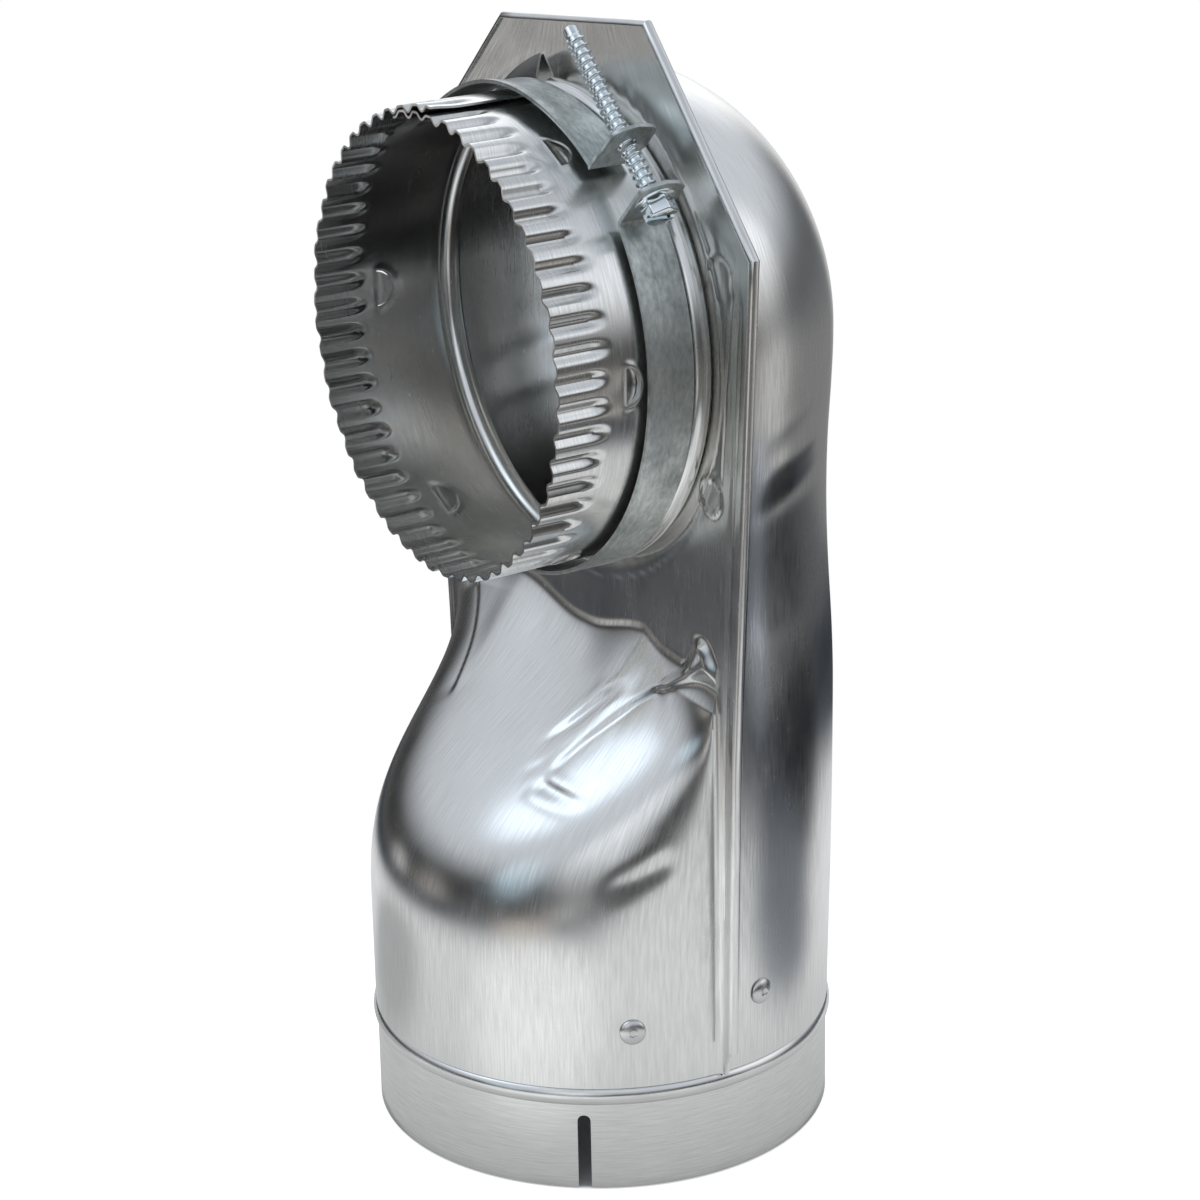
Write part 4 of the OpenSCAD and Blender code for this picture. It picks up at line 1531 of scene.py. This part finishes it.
        def form(u: Points, v: Points) -> Points:
            """Places on the threaded shank.

            Args:
                u: Share of the way round.
                v: Share of the way from the head to the tip.

            Returns:
                Places in millimetres.
            """
            h = -0.2 + v * (self.screw_len + 0.2)
            phase = (h / self.pitch - u) % 1.0
            crest = np.minimum(np.clip(1.0 - np.abs(phase - 0.5) / 0.3, 0.0, 1.0) * 1.25, 1.0)
            fade = smooth(h, self.screw_len - 1.9, self.screw_len - 3.6) * smooth(h, 0.6, 2.4)
            r = self.core_r + (self.thread_r - self.core_r) * crest * fade
            r = np.where(h > tip, self.core_r - 0.7 * (h - tip) / 0.45, r)
            r = np.where((v > 0.9999) | (v < 0.0001), 0.0, np.maximum(r, 0.05))
            a = u * 2 * math.pi
            return np.stack([r * np.cos(a), r * np.sin(a), h], axis=1) @ turn.T + origin

        shank = draped("shank", sides, rows, form)
        close_round(shank)
        rim = [(4.35, -0.95), (4.62, -0.8), (4.7, -0.5), (4.7, -0.18), (4.6, 0.0)]
        washer = lathe("washer", [(0.0, -2.2), (2.6, -2.2), (3.4, -1.15), *rim, (1.2, 0.0), (0.0, 0.0)], place, 56)
        deselect_all()
        corner_r = self.head_flats / math.sqrt(3)
        bpy.ops.mesh.primitive_cylinder_add(vertices=6, radius=corner_r * MM, depth=self.head_high * MM)
        head = bpy.context.active_object
        finish_modifier(head, "BEVEL", width=0.35 * MM, segments=3, limit_method="ANGLE", angle_limit=math.radians(40))
        stand_at(head, place @ Matrix.Translation((0.0, 0.0, -2.6)))
        settle(head)
        deselect_all()
        bpy.ops.mesh.primitive_cube_add(size=1.0)
        blade = bpy.context.active_object
        blade.scale = tuple(size * MM for size in self.slot)
        settle(blade)
        stand_at(blade, place @ Matrix.Translation((0.0, 0.0, -4.6)))
        cut_away(head, [blade])
        screw = joined("clamp_screw_turned", [shank, washer, head])
        hand_over(screw, Body.SCREW, finish, angle=32.0)
        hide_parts("clamp_screw")


@dataclass(frozen=True)
class Softbox:
    """A light or dark patch of the studio, painted in the surroundings."""

    azimuth: float
    elevation: float
    spread: float
    edge: float
    strength: float
    colour: str = "#FFFFFF"


@dataclass(frozen=True)
class Band:
    """Brightness of a ramp at one place."""

    place: float
    level: float
    colour: str = "#FFFFFF"


@dataclass(frozen=True)
class FloorCard:
    """A round card on the floor, pale or dark, that shows only in reflections."""

    azimuth: float
    distance: float
    radius: float
    edge: float
    level: float
    colour: str = "#FFFFFF"


@dataclass
class Studio:
    """Camera, floor and surroundings."""

    location: tuple[float, float, float] = (0.61805, -0.39793, 0.38117)
    azimuth: float = 59.2545
    elevation: float = 19.621
    roll: float = -1.8598
    focal_px: float = 3489.1
    frame_px: float = 1200.0
    centre_px: tuple[float, float] = (476.44, 604.14)
    floor_radius: float = 0.42
    # shares of the floor's light in reflections that are its own glow, at this strength, and the matt paint's
    glow_strength: float = 0.8
    matt_share: float = 0.3
    # how much the floor that the camera sees glows beside the part, where its shadow lies, and from where to where
    # the shadow fades to white, in metres
    shadow_glow: float = 0.66
    shadow_fade: tuple[float, float] = (0.06, 0.16)
    sensor_mm: float = 36.0
    # brightness against the sine of the elevation, from -1 to 1
    sky: tuple[Band, ...] = (
        Band(-1.0, 0.18, "#FFFAF6"),
        Band(-0.25, 0.15, "#FFFAF6"),
        Band(-0.04, 0.03),
        Band(0.1, 0.04),
        Band(0.2, 0.3, "#F4F8FF"),
        Band(0.36, 0.72, "#F0F6FF"),
        Band(0.7, 0.85, "#EEF5FF"),
        Band(1.0, 0.5, "#EEF5FF"),
    )
    # brightness of the floor in reflections against the distance from the part, as a share of its radius
    ground: tuple[Band, ...] = (
        # the first two stops paint the floor inside the inlet nearly black in reflections: painted shade under the
        # part
        Band(0.0, 0.006),
        Band(0.116, 0.006),
        Band(0.126, 0.72),
        Band(0.26, 1.0),
        Band(0.4, 1.12),
        Band(0.5, 0.95),
        Band(0.62, 0.1, "#E0ECFF"),
        Band(0.8, 0.05, "#E0ECFF"),
        Band(1.0, 0.12, "#E8F0FF"),
    )
    # pale and dark cards on the floor, which only the metal sees
    cards: tuple[FloorCard, ...] = (
        FloorCard(-9.0, 0.25, 0.11, 0.06, 1.05),
        FloorCard(-60.0, 0.16, 0.07, 0.05, 1.4),
        FloorCard(-140.0, 0.13, 0.05, 0.04, 0.6),
        FloorCard(-68.0, 0.3, 0.07, 0.04, 0.75, "#FFF2E4"),
        FloorCard(-48.0, 0.38, 0.06, 0.04, 0.6),
        FloorCard(66.0, 0.29, 0.115, 0.05, 0.02, "#DCE8FF"),
        FloorCard(47.0, 0.37, 0.035, 0.025, 1.0, "#EAF2FF"),
        FloorCard(56.0, 0.17, 0.055, 0.04, 0.3, "#EAF2FF"),
    )
    boxes: tuple[Softbox, ...] = (
        Softbox(-105.0, 52.0, 17.0, 7.0, 0.95, "#DCEEFF"),
        Softbox(52.0, 18.0, 17.0, 9.0, 0.6),
        Softbox(58.0, -17.0, 10.0, 6.0, 0.45),
        Softbox(143.0, 2.0, 16.0, 8.0, 0.8),
        Softbox(140.0, 24.0, 18.0, 10.0, 0.6),
        Softbox(-48.0, 12.0, 12.0, 7.0, 0.6, "#F6FAFF"),
        Softbox(-80.0, 10.0, 9.0, 5.0, 0.6, "#D2EEFF"),
        Softbox(-124.0, -8.0, 8.0, 5.0, 0.3, "#FFFAF4"),
        Softbox(-52.0, -20.0, 11.0, 6.0, 0.6),
        Softbox(-150.0, -7.5, 5.0, 3.0, 0.6),
        Softbox(31.0, -27.0, 9.0, 5.0, 0.4, "#FFFAF4"),
        Softbox(100.0, -16.0, 42.0, 20.0, 0.1, "#EEF5FF"),
    )

    def camera(self) -> None:
        """Place the camera where the photograph was taken from."""
        a, e, r = (math.radians(v) for v in (self.azimuth, self.elevation, self.roll))
        back = Vector((math.sin(a) * math.cos(e), -math.cos(a) * math.cos(e), math.sin(e)))
        level = Vector((math.cos(a), math.sin(a), 0.0))
        up = back.cross(level)
        right = level * math.cos(r) + up * math.sin(r)
        top = up * math.cos(r) - level * math.sin(r)
        data = bpy.data.cameras.new("camera")
        data.sensor_width = self.sensor_mm
        data.lens = self.focal_px / self.frame_px * self.sensor_mm
        data.shift_x = (self.frame_px / 2 - self.centre_px[0]) / self.frame_px
        data.shift_y = (self.centre_px[1] - self.frame_px / 2) / self.frame_px
        data.clip_start = 0.01
        data.clip_end = 100.0
        camera = bpy.data.objects.new("camera", data)
        bpy.context.scene.collection.objects.link(camera)
        turned = Matrix((right, top, back)).transposed().to_4x4()
        turned.translation = Vector(self.location)
        camera.matrix_world = turned
        bpy.context.scene.camera = camera

    def ramp(self, tree: bpy.types.NodeTree, place: bpy.types.Node, bands: Sequence[Band]) -> bpy.types.Node:
        """A ramp of brightness.

        Args:
            tree: The tree that gets it.
            place: Gives the place from 0 to 1.
            bands: Its stops, from 0 to 1.

        Returns:
            The ramp.
        """
        node = add_node(tree, "ShaderNodeValToRGB", {"Fac": place})
        stops = node.color_ramp.elements
        while len(stops) < len(bands):
            stops.new(0.5)
        for stop, band in zip(stops, bands):
            stop.position = band.place
        for stop, band in zip(stops, bands):
            stop.color = lit_colour(band.colour, band.level)
        return node

    def floor(self) -> None:
        """A pale floor, which metal sees bright near the part and dim further off."""
        deselect_all()
        bpy.ops.mesh.primitive_plane_add(size=12.0, location=(0.0, 0.0, -0.0004))
        ground = bpy.context.active_object
        ground.name = ground.data.name = "studio_floor"
        material, tree = new_material("pale_studio_floor")
        chart = add_node(tree, "ShaderNodeTexCoord", {}).outputs["Object"]
        far = add_node(tree, "ShaderNodeVectorMath", {0: chart}, operation="LENGTH").outputs["Value"]
        share = add_node(tree, "ShaderNodeMath", {0: far, 1: self.floor_radius}, operation="DIVIDE")
        # what the metal sees: rings of brightness, with the cards laid on them
        tones = self.ramp(tree, share, self.ground).outputs[0]
        for card in self.cards:
            a = math.radians(card.azimuth)
            spot = (card.distance * math.cos(a), card.distance * math.sin(a), 0.0)
            off = add_node(tree, "ShaderNodeVectorMath", {0: chart, 1: spot}, operation="DISTANCE")
            cover = add_node(
                tree,
                "ShaderNodeMapRange",
                {
                    "Value": off.outputs["Value"],
                    "From Min": card.radius - card.edge / 2,
                    "From Max": card.radius + card.edge / 2,
                    "To Min": 1.0,
                    "To Max": 0.0,
                },
                interpolation_type="SMOOTHSTEP",
            )
            paint = lit_colour(card.colour, card.level)
            tones = add_node(tree, "ShaderNodeMix", {"Factor": cover, 6: tones, 7: paint}, data_type="RGBA").outputs[2]
        glow = add_node(tree, "ShaderNodeEmission", {"Color": tones, "Strength": self.glow_strength})
        matt = add_node(tree, "ShaderNodeBsdfDiffuse", {"Color": tones})
        near = add_node(tree, "ShaderNodeMixShader", {0: self.matt_share, 1: glow, 2: matt})
        clear = add_node(tree, "ShaderNodeBsdfTransparent", {})
        beyond = add_node(tree, "ShaderNodeMath", {0: share, 1: 1.0}, operation="GREATER_THAN")
        reflected = add_node(tree, "ShaderNodeMixShader", {0: beyond, 1: near, 2: clear})
        # what the camera sees: pale paper that takes the part's shadow and fades to white
        white = add_node(tree, "ShaderNodeEmission", {"Color": (1.0, 1.0, 1.0, 1.0), "Strength": 1.0})
        paper = add_node(tree, "ShaderNodeBsdfDiffuse", {"Color": (0.9, 0.9, 0.9, 1.0)})
        # inside the inlet the paper gets no glow, so it shows darker there: painted shade under the part
        outside = add_node(
            tree,
            "ShaderNodeMapRange",
            {"Value": far, "From Min": 0.0505, "From Max": 0.052, "To Max": self.shadow_glow},
        )
        lit = add_node(tree, "ShaderNodeEmission", {"Color": (1.0, 1.0, 1.0, 1.0), "Strength": outside})
        sheet = add_node(tree, "ShaderNodeAddShader", {0: paper, 1: lit})
        first, last = self.shadow_fade
        fade = add_node(
            tree,
            "ShaderNodeMapRange",
            {"Value": far, "From Min": first, "From Max": last},
            interpolation_type="SMOOTHSTEP",
        )
        shown = add_node(tree, "ShaderNodeMixShader", {0: fade, 1: sheet, 2: white})
        camera_ray = add_node(tree, "ShaderNodeLightPath", {}).outputs["Is Camera Ray"]
        show(tree, add_node(tree, "ShaderNodeMixShader", {0: camera_ray, 1: reflected, 2: shown}))
        ground.data.materials.append(material)

    def surroundings(self) -> None:
        """Surroundings that show white to the camera and soft light patches to the metal."""
        world = bpy.data.worlds.new("studio")
        bpy.context.scene.world = world
        world.use_nodes = True
        tree = world.node_tree
        tree.nodes.clear()
        add_node(tree, "ShaderNodeOutputWorld", {})
        way_out = add_node(tree, "ShaderNodeTexCoord", {}).outputs["Generated"]
        parts = add_node(tree, "ShaderNodeSeparateXYZ", {"Vector": way_out})
        place = add_node(tree, "ShaderNodeMapRange", {"Value": parts.outputs["Z"], "From Min": -1.0})
        bands = [Band((band.place + 1.0) / 2.0, band.level, band.colour) for band in self.sky]
        total = self.ramp(tree, place, bands)
        for box in self.boxes:
            a, e = math.radians(box.azimuth), math.radians(box.elevation)
            way = (math.cos(e) * math.cos(a), math.cos(e) * math.sin(a), math.sin(e))
            close = add_node(tree, "ShaderNodeVectorMath", {0: way_out, 1: way}, operation="DOT_PRODUCT")
            patch = add_node(
                tree,
                "ShaderNodeMapRange",
                {
                    "Value": close.outputs["Value"],
                    "From Min": math.cos(math.radians(box.spread + box.edge)),
                    "From Max": math.cos(math.radians(max(box.spread - box.edge, 1.0))),
                    "To Max": box.strength,
                },
                interpolation_type="SMOOTHSTEP",
            )
            paint = linear(box.colour)[:3]
            total = add_node(tree, "ShaderNodeVectorMath", {0: patch, 1: paint, 2: total}, operation="MULTIPLY_ADD")
        light = add_node(tree, "ShaderNodeBackground", {"Color": total, "Strength": 1.0})
        white = add_node(tree, "ShaderNodeBackground", {"Color": (1.0, 1.0, 1.0, 1.0), "Strength": 1.0})
        camera_ray = add_node(tree, "ShaderNodeLightPath", {}).outputs["Is Camera Ray"]
        show(tree, add_node(tree, "ShaderNodeMixShader", {0: camera_ray, 1: light, 2: white}))

    def build(self) -> None:
        """Set up the whole studio."""
        self.camera()
        self.floor()
        self.surroundings()
        bpy.context.scene.view_settings.view_transform = "Standard"


def main() -> None:
    """Build the studio and dress each sub-assembly in order."""
    logging.basicConfig(level=logging.INFO, format="%(message)s")
    Studio().build()
    shell_finish = MillFinishSheet("mill_finish_aluminium_shell", Grain.ALONG_V).build()
    ring_finish = MillFinishSheet("mill_finish_aluminium_ring", Grain.ALONG_U, dull="#C6C6C2").build()
    strap_finish = GalvanisedStrip().build()
    screw_finish = PlatedScrew("bright_zinc_plated_steel", colour="#EAF2F6", rough_low=0.04, rough_high=0.1).build()
    rivet_finish = PlatedScrew("drawn_aluminium_rivet", colour="#D4D4D2", rough_low=0.2, rough_high=0.34).build()
    housing = Housing()
    housing.rear_shell(shell_finish)
    housing.front_shell(shell_finish)
    housing.base_collar(ring_finish)
    housing.rivet_heads(rivet_finish)
    OutletCollar().build(ring_finish)
    clamp = StrapClamp()
    clamp.strap_piece(strap_finish)
    clamp.screw(screw_finish)


if __name__ == "__main__":
    main()
